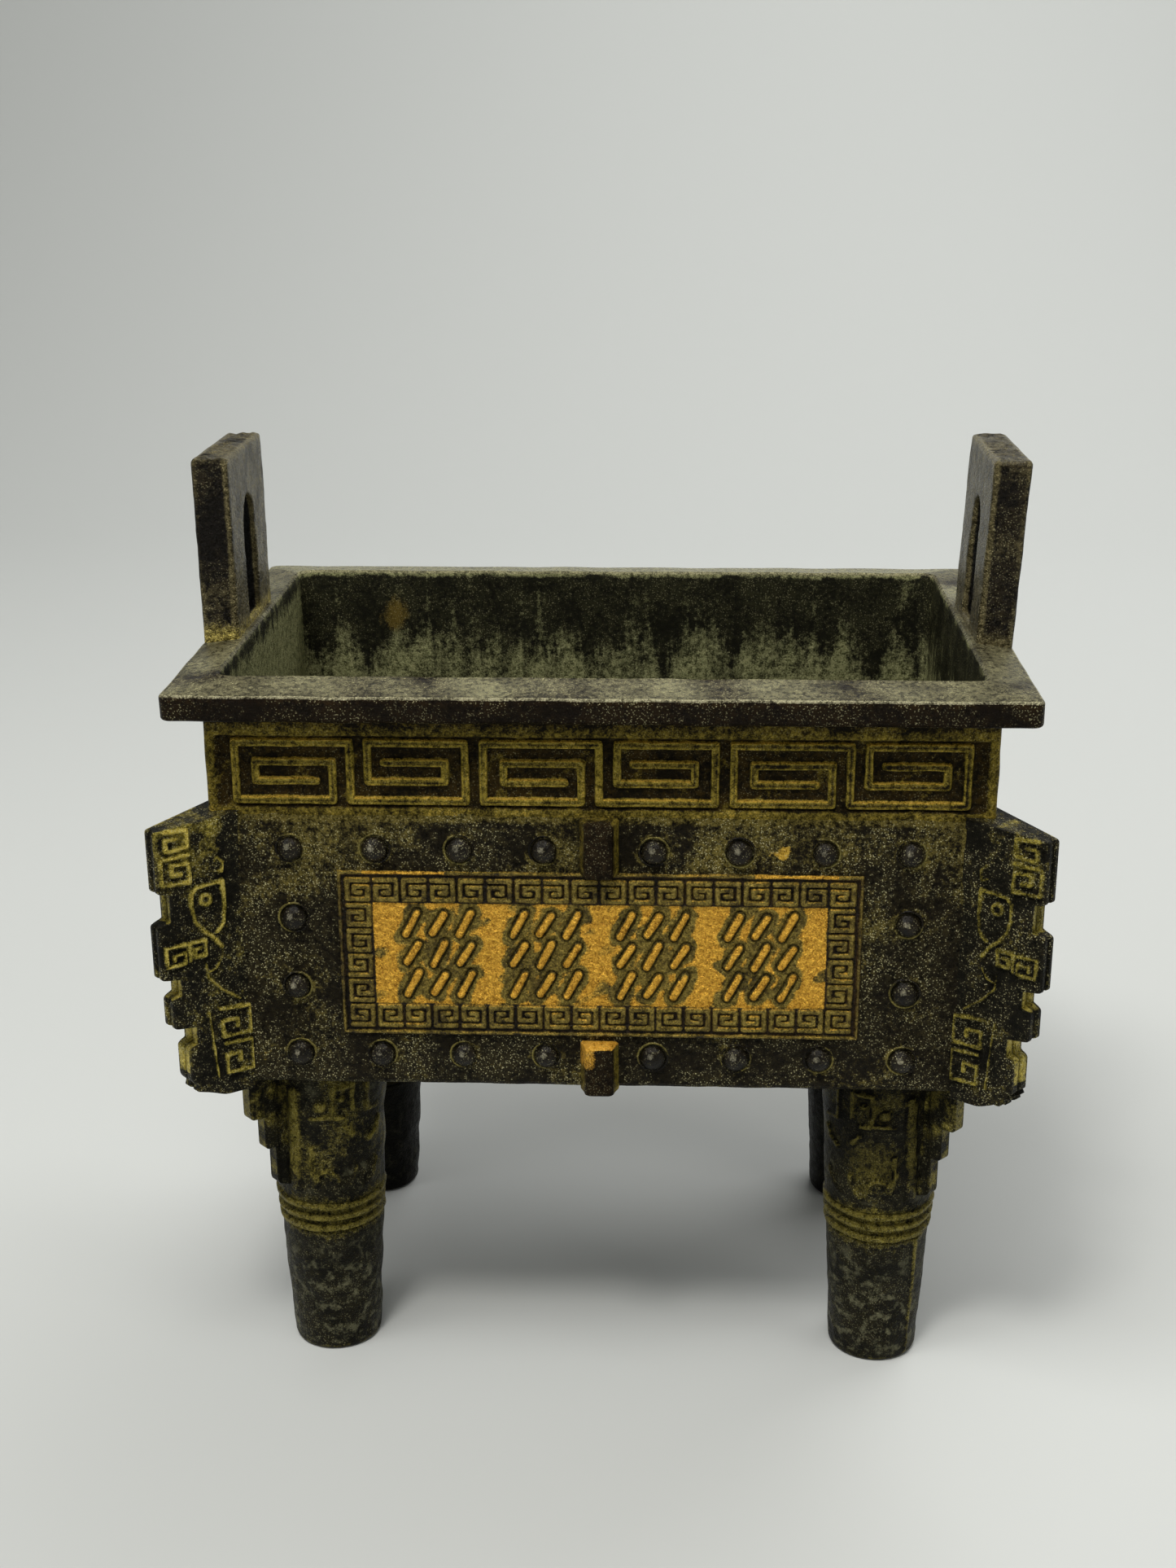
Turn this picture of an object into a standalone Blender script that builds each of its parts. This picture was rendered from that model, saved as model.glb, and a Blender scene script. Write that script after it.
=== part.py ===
"""A small rectangular four-legged cauldron of cast copper alloy, gilded and patinated.

It is one hollow casting: a box-shaped vessel with a wide rim, two upright handles, four
diagonal corner fins and four round legs. Z = 0 is under the feet, and the long front
with the inscription panel faces -Y. All sizes are in metres.
"""
import math

import bmesh
import bpy
from mathutils import Vector

# The rim: a sloping slab with an oblong opening
RIM_LENGTH = 0.1558
RIM_WIDTH = 0.1047
RIM_TOP = 0.1431
RIM_THICKNESS = 0.0049
RIM_RISE = 0.0011
RIM_CORNER = 0.0015
RIM_BEVEL = 0.0007
RIM_OVERHANG = 0.0062

# The neck, the belly below it, and the cavity, whose walls thicken downwards
END_WALL = 0.0021
SIDE_WALL = 0.00375
BELLY_BOTTOM = 0.0649
BELLY_TOP = 0.1192
BELLY_PROUD = 0.0011
BELLY_BEVEL = 0.0008
FLOOR_THICKNESS = 0.004
CAVITY_TAPER = 0.0016
CAVITY_CORNER = 0.003
CAVITY_FOOT = 0.0018
CORNER_ROUND = 0.0008

# The frieze: rectangular double spirals on a sunk ground round the neck
FRIEZE_MARGIN = 0.0047
FRIEZE_BOTTOM = 0.1208
FRIEZE_TOP = 0.1333
FRIEZE_BAND = 0.0015
FRIEZE_DEPTH = 0.00075
FRIEZE_GROUND_MARGIN = 0.0018
FRIEZE_EDGE = 0.0005
FRIEZE_GAP = 0.0018
FRONT_PAIR_COUNT = 3
END_PAIR_COUNT = 2

# The bosses: low domes in a border round each panel
BOSS_RADIUS = 0.00235
BOSS_HEIGHT = 0.0018
BOSS_SIDES = 8
PLAIN_BOSS_SIDES = 6
BOSS_ROWS = 4
BOSS_ROW_PITCH = 0.0138
BOSS_EDGE = 0.0161
BOSS_COLUMN_PITCH = 0.01555

# The panels in the middle of each side
PANEL_INSET = 0.0087
PANEL_HEIGHT = 0.0322
PANEL_LINE = 0.0009
PANEL_RELIEF = 0.0005
PLAIN_PANEL_INSET = 0.0064
KEY_COLUMNS = 18
KEY_ROWS = 6
KEY_BAND = 0.0009
KEY_EDGE = 0.0008
KEY_GAP_SHARE = 0.16
STROKE_GROUPS = 4
STROKE_ROWS = 3
STROKES_IN_ROW = 3
STROKE_WIDTH = 0.0013
STROKE_LEAN = 0.0011
STROKE_SHARES = (0.36, 0.30)
FIELD_MARGIN = 0.0022

# The short flanges above and below each panel
FLANGE_WIDTH = 0.0052
FLANGE_FOOT = 0.0074
FLANGE_PROUD = 0.0030
FLANGE_SINK = 0.001
UPPER_FLANGE_GAP = 0.0003
UPPER_FLANGE = 0.0108
LOWER_FLANGE = 0.0104
LOWER_FLANGE_DROP = 0.0007

# The corner fins: wedges in plan, with four teeth, measured from the neck's corner
FIN_EDGE = 0.0034
FIN_ROOT = 0.0096
FIN_ROOT_REACH = -0.0032
FIN_REACH = 0.0126
FIN_TEETH = ((0.0, 0.0, 0.242, 0.0023), (0.0004, 0.340, 0.545, 0.0033), (-0.0013, 0.606, 0.727, 0.0056))
FIN_LAST_STEP = -0.0038
FIN_LAST_START = 0.793
FIN_TOP_RISE = 0.0005
FIN_TOP_FALL = 0.0012
FIN_TOOTH_SLOPE = 0.0005
FIN_DROP = 0.0013
FIN_BOTTOM_ROUND = 0.0045
FIN_BOTTOM_SLOPE = 0.0012
FIN_SINK = 0.0015
FIN_BAND = 0.0008
FIN_RELIEF = 0.0006

# The legs: tapered round posts with three rings, and a stepped flange on each
LEG_INSET_X = 0.01635
LEG_INSET_Y = 0.01505
LEG_SIDES = 14
LEG_TOP_RADIUS = 0.0122
LEG_FOOT_RADIUS = 0.0088
FOOT_ROUND = 0.0009
RING_COUNT = 3
RING_LOWEST = 0.0291
RING_PITCH = 0.0025
RING_PROUD = 0.0006
LEG_SINK = 0.0015
LEG_FLANGE_THICKNESS = 0.0032
LEG_FLANGE_STEPS = ((0.0188, 0.0099), (0.0158, 0.0172), (0.0135, 0.0255))
LEG_FLANGE_CHAMFER = 0.001
LEG_FLANGE_END = 0.0022
LEG_FLANGE_SINK = 0.0012
MASK_BAND = 0.0011
NOSE_WIDTH = 0.0022
MASK_RELIEF = 0.0006
MASK_SINK = 0.0006

# The handles: thick upright plates with an arched slot
HANDLE_THICKNESS = 0.0070
HANDLE_WIDTH = 0.0322
HANDLE_HEIGHT = 0.0356
HANDLE_INSET = 0.0002
LEFT_HANDLE_LEAN = 0.0003
RIGHT_HANDLE_LEAN = 0.0016
HANDLE_CORNER = 0.0011
SLOT_WIDTH = 0.0097
SLOT_SILL = 0.0022
SLOT_CROWN = 0.0096

# How far a raised or joined form is sunk in what carries it, and a cut stands clear of it
SINK = 0.0004
HANDLE_SINK = 0.0006
CUT_CLEARANCE = 0.002

# Shares that shape a raised band and a dome
BAND_TOP_SHARE = 0.8
SHARPEST_MITRE = 0.35
DOME_FOOT_SHARE = 1.08
DOME_CROWN_SHARE = 0.5

NECK_X = RIM_LENGTH / 2 - RIM_OVERHANG
NECK_Y = RIM_WIDTH / 2 - RIM_OVERHANG
OPEN_X = NECK_X - END_WALL
OPEN_Y = NECK_Y - SIDE_WALL
BELLY_X = NECK_X + BELLY_PROUD
BELLY_Y = NECK_Y + BELLY_PROUD
BELLY_MIDDLE = (BELLY_BOTTOM + BELLY_TOP) / 2
LEG_X = NECK_X - LEG_INSET_X
LEG_Y = NECK_Y - LEG_INSET_Y
DIAGONAL = math.sqrt(0.5)
CORNERS = ((-1, -1), (1, -1), (1, 1), (-1, 1))

# The four sides, as quarter turns from the front
FRONT, RIGHT, BACK, LEFT = range(4)


class Side:
    """One wall of the vessel, with places given along it, up it and out of it."""

    def __init__(self, turn):
        self.long = turn in (FRONT, BACK)
        self.front = turn == FRONT
        angle = turn * math.pi / 2
        self.along = Vector((math.cos(angle), math.sin(angle), 0))
        self.out = Vector((math.sin(angle), -math.cos(angle), 0))
        self.belly_half = BELLY_X if self.long else BELLY_Y
        self.neck_half = NECK_X if self.long else NECK_Y
        self.belly_out = BELLY_Y if self.long else BELLY_X
        self.neck_out = NECK_Y if self.long else NECK_X
        self.pairs = FRONT_PAIR_COUNT if self.long else END_PAIR_COUNT

    def on_belly(self, u, z, height):
        """A point u along the belly's face, at z, this high above the face."""
        return self.along * u + self.out * (self.belly_out + height) + Vector((0, 0, z))

    def on_neck(self, u, z, height):
        """A point u along the neck's face, at z, this high above the face."""
        return self.along * u + self.out * (self.neck_out + height) + Vector((0, 0, z))


def finish_mesh(name, bm):
    """Make an object of a mesh of closed shapes, with every face turned outwards."""
    bmesh.ops.recalc_face_normals(bm, faces=bm.faces)
    mesh = bpy.data.meshes.new(name)
    bm.to_mesh(mesh)
    bm.free()
    thing = bpy.data.objects.new(name, mesh)
    bpy.context.scene.collection.objects.link(thing)
    return thing


def join_rings(bm, rings):
    """Close a shape over rings of points, each joined to the next, with both ends capped."""
    made = [[bm.verts.new(point) for point in ring] for ring in rings]
    count = len(made[0])
    for lower, upper in zip(made, made[1:]):
        for i in range(count):
            j = (i + 1) % count
            bm.faces.new((lower[i], lower[j], upper[j], upper[i]))
    bm.faces.new(made[0])
    bm.faces.new(made[-1])


def prism(bm, outline, place, low, high):
    """A closed block over a flat outline, from one height over a surface to another."""
    join_rings(bm, [[place(u, v, h) for u, v in outline] for h in (low, high)])


def band_offsets(path, closed):
    """The mitred step to the left of each point of a path, for a half width of 1."""
    steps = []
    last = len(path) - 1
    for i, (x, y) in enumerate(path):
        before = path[i - 1] if i > 0 or closed else None
        after = path[(i + 1) % len(path)] if i < last or closed else None
        normals = []
        for a, b in ((before, (x, y)), ((x, y), after)):
            if a is not None and b is not None:
                run = Vector((b[0] - a[0], b[1] - a[1])).normalized()
                normals.append(Vector((-run.y, run.x)))
        mean = sum(normals, Vector((0, 0))).normalized()
        steps.append(mean / max(mean.dot(normals[0]), SHARPEST_MITRE))
    return steps


def band(bm, path, width, place, low, high, closed=False):
    """A raised band along a path on a surface, a little narrower at its top."""
    steps = band_offsets(path, closed)
    sections = []
    for (x, y), step in zip(path, steps):
        foot = step * (width / 2)
        top = foot * BAND_TOP_SHARE
        sections.append([bm.verts.new(place(x + foot.x, y + foot.y, low)),
                         bm.verts.new(place(x + top.x, y + top.y, high)),
                         bm.verts.new(place(x - top.x, y - top.y, high)),
                         bm.verts.new(place(x - foot.x, y - foot.y, low))])
    following = sections[1:] + ([sections[0]] if closed else [])
    for one, two in zip(sections, following):
        for i in range(4):
            j = (i + 1) % 4
            bm.faces.new((one[i], one[j], two[j], two[i]))
    if not closed:
        bm.faces.new(sections[0])
        bm.faces.new(sections[-1])


def dome(bm, u, z, radius, height, sides, place):
    """A low dome: a sunk foot and a smaller flat crown."""
    rings = []
    turns = [2 * math.pi * (i + 0.5) / sides for i in range(sides)]
    for share, rise in ((DOME_FOOT_SHARE, -SINK), (DOME_CROWN_SHARE, height)):
        rings.append([place(u + share * radius * math.cos(t), z + share * radius * math.sin(t), rise)
                      for t in turns])
    join_rings(bm, rings)


def rounded_oblong(half_x, half_y, radius, z, steps=2):
    """Points round a level oblong with rounded corners, counter-clockwise from above."""
    points = []
    for quarter, (sx, sy) in enumerate(((1, 1), (-1, 1), (-1, -1), (1, -1))):
        centre = Vector((sx * (half_x - radius), sy * (half_y - radius), z))
        for i in range(steps + 1):
            angle = math.pi / 2 * (quarter + i / steps)
            points.append(centre + Vector((math.cos(angle), math.sin(angle), 0)) * radius)
    return points


def vessel_shell():
    """The hollow vessel: outer walls from below, over the rim, and down the cavity."""
    half_l, half_w = RIM_LENGTH / 2, RIM_WIDTH / 2
    rim_low = RIM_TOP - RIM_THICKNESS
    floor = BELLY_BOTTOM + FLOOR_THICKNESS
    low_x, low_y = OPEN_X - CAVITY_TAPER, OPEN_Y - CAVITY_TAPER
    bm = bmesh.new()
    join_rings(bm, [
        rounded_oblong(BELLY_X - BELLY_BEVEL, BELLY_Y - BELLY_BEVEL, CORNER_ROUND, BELLY_BOTTOM),
        rounded_oblong(BELLY_X, BELLY_Y, CORNER_ROUND, BELLY_BOTTOM + BELLY_BEVEL),
        rounded_oblong(BELLY_X, BELLY_Y, CORNER_ROUND, BELLY_TOP - BELLY_PROUD),
        rounded_oblong(NECK_X, NECK_Y, CORNER_ROUND, BELLY_TOP),
        rounded_oblong(NECK_X, NECK_Y, CORNER_ROUND, rim_low),
        rounded_oblong(half_l - RIM_BEVEL, half_w - RIM_BEVEL, RIM_CORNER, rim_low),
        rounded_oblong(half_l, half_w, RIM_CORNER, rim_low + RIM_BEVEL),
        rounded_oblong(half_l, half_w, RIM_CORNER, RIM_TOP - RIM_BEVEL),
        rounded_oblong(half_l - RIM_BEVEL, half_w - RIM_BEVEL, RIM_CORNER, RIM_TOP),
        rounded_oblong(OPEN_X, OPEN_Y, CAVITY_CORNER, RIM_TOP + RIM_RISE),
        rounded_oblong(low_x, low_y, CAVITY_CORNER, floor + CAVITY_FOOT),
        rounded_oblong(low_x - CAVITY_FOOT, low_y - CAVITY_FOOT, CAVITY_CORNER, floor)])
    return finish_mesh("cauldron", bm)


def leg_radius(z):
    """The leg's radius without its rings, which grows evenly from the foot upwards."""
    return LEG_FOOT_RADIUS + (LEG_TOP_RADIUS - LEG_FOOT_RADIUS) * z / BELLY_BOTTOM


def leg_profile():
    """The leg's outline as radius and height, from the foot to its sunk top."""
    points = [(LEG_FOOT_RADIUS - FOOT_ROUND, 0.0), (leg_radius(FOOT_ROUND), FOOT_ROUND)]
    for i in range(2 * RING_COUNT + 1):
        z = RING_LOWEST + (i - 1) * RING_PITCH / 2
        points.append((leg_radius(z) + RING_PROUD * (i % 2), z))
    top = BELLY_BOTTOM + LEG_SINK
    return points + [(leg_radius(top), top)]


def legs():
    """The four round legs."""
    bm = bmesh.new()
    for sx, sy in CORNERS:
        centre = Vector((sx * LEG_X, sy * LEG_Y, 0))
        turns = [2 * math.pi * i / LEG_SIDES for i in range(LEG_SIDES)]
        join_rings(bm, [[centre + Vector((r * math.cos(t), r * math.sin(t), z)) for t in turns]
                        for r, z in leg_profile()])
    return finish_mesh("legs_form", bm)


def diagonal_place(sx, sy, x, y):
    """Places in the upright diagonal plane of a corner, by reach, height and offset."""
    out = Vector((sx, sy, 0)) * DIAGONAL
    across = Vector((-sx, sy, 0)) * DIAGONAL
    start = Vector((sx * x, sy * y, 0))
    return lambda reach, z, offset: start + out * reach + across * offset + Vector((0, 0, z))


def leg_flange_outline():
    """The stepped outline of a leg's flange, by reach from the leg's axis and height."""
    level = BELLY_BOTTOM + LEG_FLANGE_SINK
    points = [(0.0, level)]
    for reach, drop in LEG_FLANGE_STEPS:
        bottom = BELLY_BOTTOM - drop
        points += [(reach, level), (reach, bottom + LEG_FLANGE_CHAMFER),
                   (reach - LEG_FLANGE_CHAMFER, bottom)]
        level = bottom
    end = level - LEG_FLANGE_END
    return points + [(leg_radius(level) - LEG_FLANGE_END, end), (0.0, end)]


def leg_flanges():
    """The stepped diagonal flange on each leg."""
    bm = bmesh.new()
    half = LEG_FLANGE_THICKNESS / 2
    for sx, sy in CORNERS:
        prism(bm, leg_flange_outline(), diagonal_place(sx, sy, LEG_X, LEG_Y), -half, half)
    return finish_mesh("leg_flanges_form", bm)


def fin_half_thickness(reach):
    """Half the fin's thickness, which shrinks evenly from the root to the outer edge."""
    run = (reach - FIN_ROOT_REACH) / (FIN_REACH - FIN_ROOT_REACH)
    return (FIN_ROOT + (FIN_EDGE - FIN_ROOT) * run) / 2


def fin_outline():
    """The toothed outline of a corner fin, by reach from the neck's corner and height."""
    top = BELLY_TOP + FIN_TOP_RISE
    bottom = BELLY_BOTTOM - FIN_DROP
    height = top - bottom
    root = FIN_ROOT_REACH - FIN_SINK
    points = [(root, top)]
    next_starts = [start for step, start, end, notch in FIN_TEETH[1:]] + [FIN_LAST_START]
    for (step, start, end, notch), next_start in zip(FIN_TEETH, next_starts):
        edge, notch_floor = FIN_REACH + step, FIN_REACH - notch
        tooth_top, tooth_end = top - start * height, top - end * height
        fall = FIN_TOP_FALL if start == 0 else FIN_TOOTH_SLOPE
        points += [(edge, tooth_top - fall), (edge, tooth_end + FIN_TOOTH_SLOPE),
                   (notch_floor, tooth_end), (notch_floor, top - next_start * height)]
    last = FIN_REACH + FIN_LAST_STEP
    points += [(last, top - FIN_LAST_START * height - FIN_TOOTH_SLOPE),
               (last, bottom + FIN_BOTTOM_ROUND),
               (last - FIN_BOTTOM_ROUND * 0.8, bottom + FIN_BOTTOM_SLOPE),
               (last - FIN_BOTTOM_ROUND * 1.4, bottom), (root, bottom)]
    return points


def fins():
    """The four toothed corner fins."""
    bm = bmesh.new()
    for sx, sy in CORNERS:
        place = diagonal_place(sx, sy, NECK_X, NECK_Y)
        rings = [[place(reach, z, side * fin_half_thickness(reach)) for reach, z in fin_outline()]
                 for side in (-1, 1)]
        join_rings(bm, rings)
    return finish_mesh("fins_form", bm)


def handle_place(side):
    """Places on a handle: along Y, up, and inwards from its leaning outer face."""
    outer = RIM_LENGTH / 2 - HANDLE_INSET
    full_lean = LEFT_HANDLE_LEAN if side < 0 else RIGHT_HANDLE_LEAN

    def place(y, z, inward):
        lean = full_lean * (z - RIM_TOP) / HANDLE_HEIGHT
        return Vector((side * (outer + lean - inward), y, z))
    return place


def handles():
    """The two upright handle plates, with rounded upper corners."""
    bm = bmesh.new()
    half = HANDLE_WIDTH / 2
    top = RIM_TOP + HANDLE_HEIGHT
    outline = [(-half, RIM_TOP - HANDLE_SINK), (half, RIM_TOP - HANDLE_SINK)]
    for quarter, sign in ((0, 1), (1, -1)):
        for i in range(4):
            angle = math.pi / 2 * (quarter + i / 3)
            outline.append((sign * (half - HANDLE_CORNER) + HANDLE_CORNER * math.cos(angle),
                            top - HANDLE_CORNER + HANDLE_CORNER * math.sin(angle)))
    for side in (-1, 1):
        prism(bm, outline, handle_place(side), 0.0, HANDLE_THICKNESS)
    return finish_mesh("handles_form", bm)


def side_flanges(sides):
    """The short flange above and below the panel of each side."""
    bm = bmesh.new()
    upper = BELLY_TOP - UPPER_FLANGE_GAP
    lower = BELLY_BOTTOM - LOWER_FLANGE_DROP
    foot, edge = FLANGE_FOOT / 2, FLANGE_WIDTH / 2
    section = [(-foot, -FLANGE_SINK), (foot, -FLANGE_SINK), (edge, FLANGE_PROUD), (-edge, FLANGE_PROUD)]
    for side in sides:
        for ends in ((upper - UPPER_FLANGE, upper), (lower, lower + LOWER_FLANGE)):
            join_rings(bm, [[side.on_belly(u, z, h) for u, h in section] for z in ends])
    return finish_mesh("side_flanges_form", bm)


def cutters(sides):
    """The sunk grounds of the frieze and the arched slots through the handles."""
    bm = bmesh.new()
    for side in sides:
        half = side.neck_half - FRIEZE_GROUND_MARGIN
        low, high = FRIEZE_BOTTOM - FRIEZE_EDGE, FRIEZE_TOP + FRIEZE_EDGE
        outline = [(-half, low), (half, low), (half, high), (-half, high)]
        prism(bm, outline, side.on_neck, -FRIEZE_DEPTH, CUT_CLEARANCE)
    half = SLOT_WIDTH / 2
    spring = RIM_TOP + HANDLE_HEIGHT - SLOT_CROWN - half
    outline = [(-half, RIM_TOP + SLOT_SILL), (half, RIM_TOP + SLOT_SILL)]
    outline += [(half * math.cos(math.pi * i / 6), spring + half * math.sin(math.pi * i / 6))
                for i in range(7)]
    for side in (-1, 1):
        prism(bm, outline, handle_place(side), -CUT_CLEARANCE, HANDLE_THICKNESS + CUT_CLEARANCE)
    return finish_mesh("cutters_form", bm)


def scaled(path, u, v, width, height):
    """A path drawn in a unit square, with its top at v = 0, put in a cell of a surface."""
    return [(u + x * width, v - y * height) for x, y in path]


def double_spiral(full):
    """Two linked rectangular spirals, the second the first half-turned, top at 0."""
    columns, rows = 11.36, 3
    half = [(1, 1), (4.8, 1), (4.8, 3), (0, 3), (0, 0), (columns / 2, 0)]
    if full:
        half = [(4, 2), (1, 2)] + half
    other = [(columns - x, rows - y) for x, y in reversed(half)]
    return [(x / columns, y / rows) for x, y in half + other]


def frieze(bm, side):
    """The row of double spirals round the neck, as raised bands on the sunk ground."""
    length = 2 * (side.neck_half - FRIEZE_MARGIN)
    cell = (length - (side.pairs - 1) * FRIEZE_GAP) / side.pairs
    for i in range(side.pairs):
        start = -length / 2 + i * (cell + FRIEZE_GAP) + FRIEZE_BAND / 2
        path = scaled(double_spiral(side.front), start, FRIEZE_TOP - FRIEZE_BAND / 2,
                      cell - FRIEZE_BAND, FRIEZE_TOP - FRIEZE_BOTTOM - FRIEZE_BAND)
        band(bm, path, FRIEZE_BAND, side.on_neck, -FRIEZE_DEPTH - SINK, 0.0)


def boss_places(side):
    """The centres of a side's bosses, in a border of rows and columns round its panel."""
    outer = side.belly_half - BOSS_EDGE
    columns = [outer - i * BOSS_COLUMN_PITCH for i in range(4 if side.long else 2)]
    columns = [-c for c in columns] + columns[::-1]
    rows = [BELLY_MIDDLE + (i - (BOSS_ROWS - 1) / 2) * BOSS_ROW_PITCH for i in range(BOSS_ROWS)]
    return [(u, z) for z in rows for u in columns
            if z in (rows[0], rows[-1]) or abs(u) == outer]


def panel_half(side):
    """Half the length of a side's panel, measured to the middle of its frame line."""
    return side.belly_half - BOSS_EDGE - PANEL_INSET


def oblong(half_u, low, high):
    """The four corners of an upright oblong centred on a side."""
    return [(-half_u, low), (half_u, low), (half_u, high), (-half_u, high)]


def panel_frame(bm, side, inset):
    """A raised line round a side's panel, this far inside its edge."""
    half = PANEL_HEIGHT / 2 - inset
    outline = oblong(panel_half(side) - inset, BELLY_MIDDLE - half, BELLY_MIDDLE + half)
    band(bm, outline, PANEL_LINE, side.on_belly, -SINK, PANEL_RELIEF, closed=True)


def key_spiral(turned):
    """A small square spiral in a unit cell, point-symmetric with its turned neighbour."""
    path = [(1.0, 1.0), (0.0, 1.0), (0.0, 0.0), (0.8, 0.0), (0.8, 0.55)]
    return [(1 - x, 1 - y) for x, y in path] if turned else path


def key_border(bm, side):
    """The border of square key spirals between the panel's frame and its field."""
    width = 2 * (panel_half(side) - KEY_EDGE)
    height = PANEL_HEIGHT - 2 * KEY_EDGE
    cell_u, cell_v = width / KEY_COLUMNS, height / KEY_ROWS
    inner = 1 - 2 * KEY_GAP_SHARE
    for row in range(KEY_ROWS):
        for column in range(KEY_COLUMNS):
            if 0 < row < KEY_ROWS - 1 and 0 < column < KEY_COLUMNS - 1:
                continue
            u = -width / 2 + (column + KEY_GAP_SHARE) * cell_u
            v = BELLY_MIDDLE + height / 2 - (row + KEY_GAP_SHARE) * cell_v
            path = scaled(key_spiral((row + column) % 2), u, v, cell_u * inner, cell_v * inner)
            band(bm, path, KEY_BAND, side.on_belly, -SINK, PANEL_RELIEF)


def inscription(bm, side):
    """Four groups of rows of shallow parallel strokes, in the place of the inscription."""
    cell_u = 2 * (panel_half(side) - KEY_EDGE) / KEY_COLUMNS
    cell_v = (PANEL_HEIGHT - 2 * KEY_EDGE) / KEY_ROWS
    half_u = panel_half(side) - KEY_EDGE - cell_u - FIELD_MARGIN
    half_v = PANEL_HEIGHT / 2 - KEY_EDGE - cell_v - FIELD_MARGIN / 2
    group = 2 * half_u / STROKE_GROUPS
    pitch = group / (STROKES_IN_ROW + 1)
    row_height = 2 * half_v / STROKE_ROWS
    for g in range(STROKE_GROUPS):
        for r in range(STROKE_ROWS):
            middle = BELLY_MIDDLE + half_v - (r + 0.5) * row_height
            for s in range(STROKES_IN_ROW):
                u = -half_u + g * group + (s + 1) * pitch
                reach = row_height * STROKE_SHARES[(s + r) % 2]
                path = [(u - STROKE_LEAN, middle - reach), (u + STROKE_LEAN, middle + reach)]
                band(bm, path, STROKE_WIDTH, side.on_belly, -SINK, PANEL_RELIEF)


def fin_face(sx, sy, face):
    """Places on one face of a corner fin, by reach, height and rise above the face."""
    place = diagonal_place(sx, sy, NECK_X, NECK_Y)
    return lambda reach, z, rise: place(reach, z, face * (fin_half_thickness(reach) + rise))


def square_spiral():
    """A square spiral in a unit cell, open to the right."""
    return [(1.0, 0.0), (0.0, 0.0), (0.0, 1.0), (1.0, 1.0), (1.0, 0.42), (0.45, 0.42)]


def fin_relief(bm, sx, sy, face, full):
    """The relief on a fin's face: an eye in a pointed frame, and square spirals."""
    place = fin_face(sx, sy, face)
    height = BELLY_TOP - BELLY_BOTTOM
    low, high = -SINK, FIN_RELIEF

    def level(share):
        return BELLY_BOTTOM + share * height

    eye = [(0.0006, 0.775), (0.0056, 0.768), (0.0066, 0.690), (0.0048, 0.611), (0.0015, 0.540)]
    band(bm, [(reach, level(share)) for reach, share in eye], FIN_BAND, place, low, high)
    dome(bm, 0.0039, level(0.718), 0.0011, FIN_RELIEF, BOSS_SIDES, place)
    lower = ((-0.0010, 0.300, 0.0035, 0.095), (-0.0012, 0.165, 0.0032, 0.095))
    outer = ((0.0068, 0.975, 0.0036, 0.062), (0.0068, 0.885, 0.0042, 0.080),
             (0.0084, 0.565, 0.0032, 0.055), (0.0048, 0.565, 0.0028, 0.055))
    for reach, share, width, depth in (lower + outer if full else lower[:1]):
        path = scaled(square_spiral(), reach, level(share), width, depth * height)
        band(bm, path, FIN_BAND, place, low, high)
    if full:
        jaw = [(0.0046, 0.482), (0.0044, 0.432), (0.0020, 0.381), (-0.0010, 0.335)]
        band(bm, [(reach, level(share)) for reach, share in jaw], FIN_BAND, place, low, high)


def leg_place(sx, sy):
    """Places on a leg, by angle from the way the leg's long side faces, in radians."""
    centre = Vector((sx * LEG_X, sy * LEG_Y, 0))

    def place(angle, z, rise):
        radius = leg_radius(z) + rise
        across = Vector((-sx * math.sin(angle), sy * math.cos(angle), 0))
        return centre + across * radius + Vector((0, 0, z))
    return place


def mask_relief(bm, sx, sy):
    """The mask on the upper leg: a nose ridge, two eyes under a brow, and a curl."""
    place = leg_place(sx, sy)
    height = BELLY_BOTTOM
    radius = leg_radius(0.8 * height)
    low, high = -MASK_SINK, MASK_RELIEF

    def bend(points):
        return [(math.radians(degrees), share * height) for degrees, share in points]

    def wide_place(u, z, rise):
        return place(u / radius, z, rise)

    ridge = [(angle * radius, z) for angle, z in bend([(-21, 0.92), (-22, 0.60)])]
    band(bm, ridge, NOSE_WIDTH, wide_place, low, high)
    lid = bend([(-6, 0.835), (8, 0.840), (26, 0.830)])
    brow_eye = bend([(15, 0.855), (15, 0.935), (33, 0.935), (33, 0.860)])
    curl = bend([(-5, 0.61), (-3, 0.64), (7, 0.655), (16, 0.64), (17, 0.61)])
    cheek = bend([(37, 0.655), (35, 0.62), (23, 0.585)])
    marks = [lid, brow_eye, curl, cheek] if sy < 0 else [lid, brow_eye]
    for path in marks:
        narrow = [(angle * radius, z) for angle, z in path]
        band(bm, narrow, MASK_BAND, wide_place, low, high)
    dome(bm, math.radians(2) * radius, 0.885 * height, 0.0015, MASK_RELIEF, BOSS_SIDES, wide_place)


def relief(sides):
    """All the raised ornament, each form sunk a little in the surface that carries it."""
    bm = bmesh.new()
    for side in sides:
        frieze(bm, side)
        panel_frame(bm, side, 0.0)
        boss_sides = BOSS_SIDES if side.front else PLAIN_BOSS_SIDES
        for u, z in boss_places(side):
            dome(bm, u, z, BOSS_RADIUS, BOSS_HEIGHT, boss_sides, side.on_belly)
    front, right, back, left = sides
    key_border(bm, front)
    inscription(bm, front)
    for side in (right, back, left):
        panel_frame(bm, side, PLAIN_PANEL_INSET)
    for sx, sy in CORNERS:
        fin_relief(bm, sx, sy, 1, full=sy < 0)
        fin_relief(bm, sx, sy, -1, full=False)
        mask_relief(bm, sx, sy)
    return finish_mesh("relief_form", bm)


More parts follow.
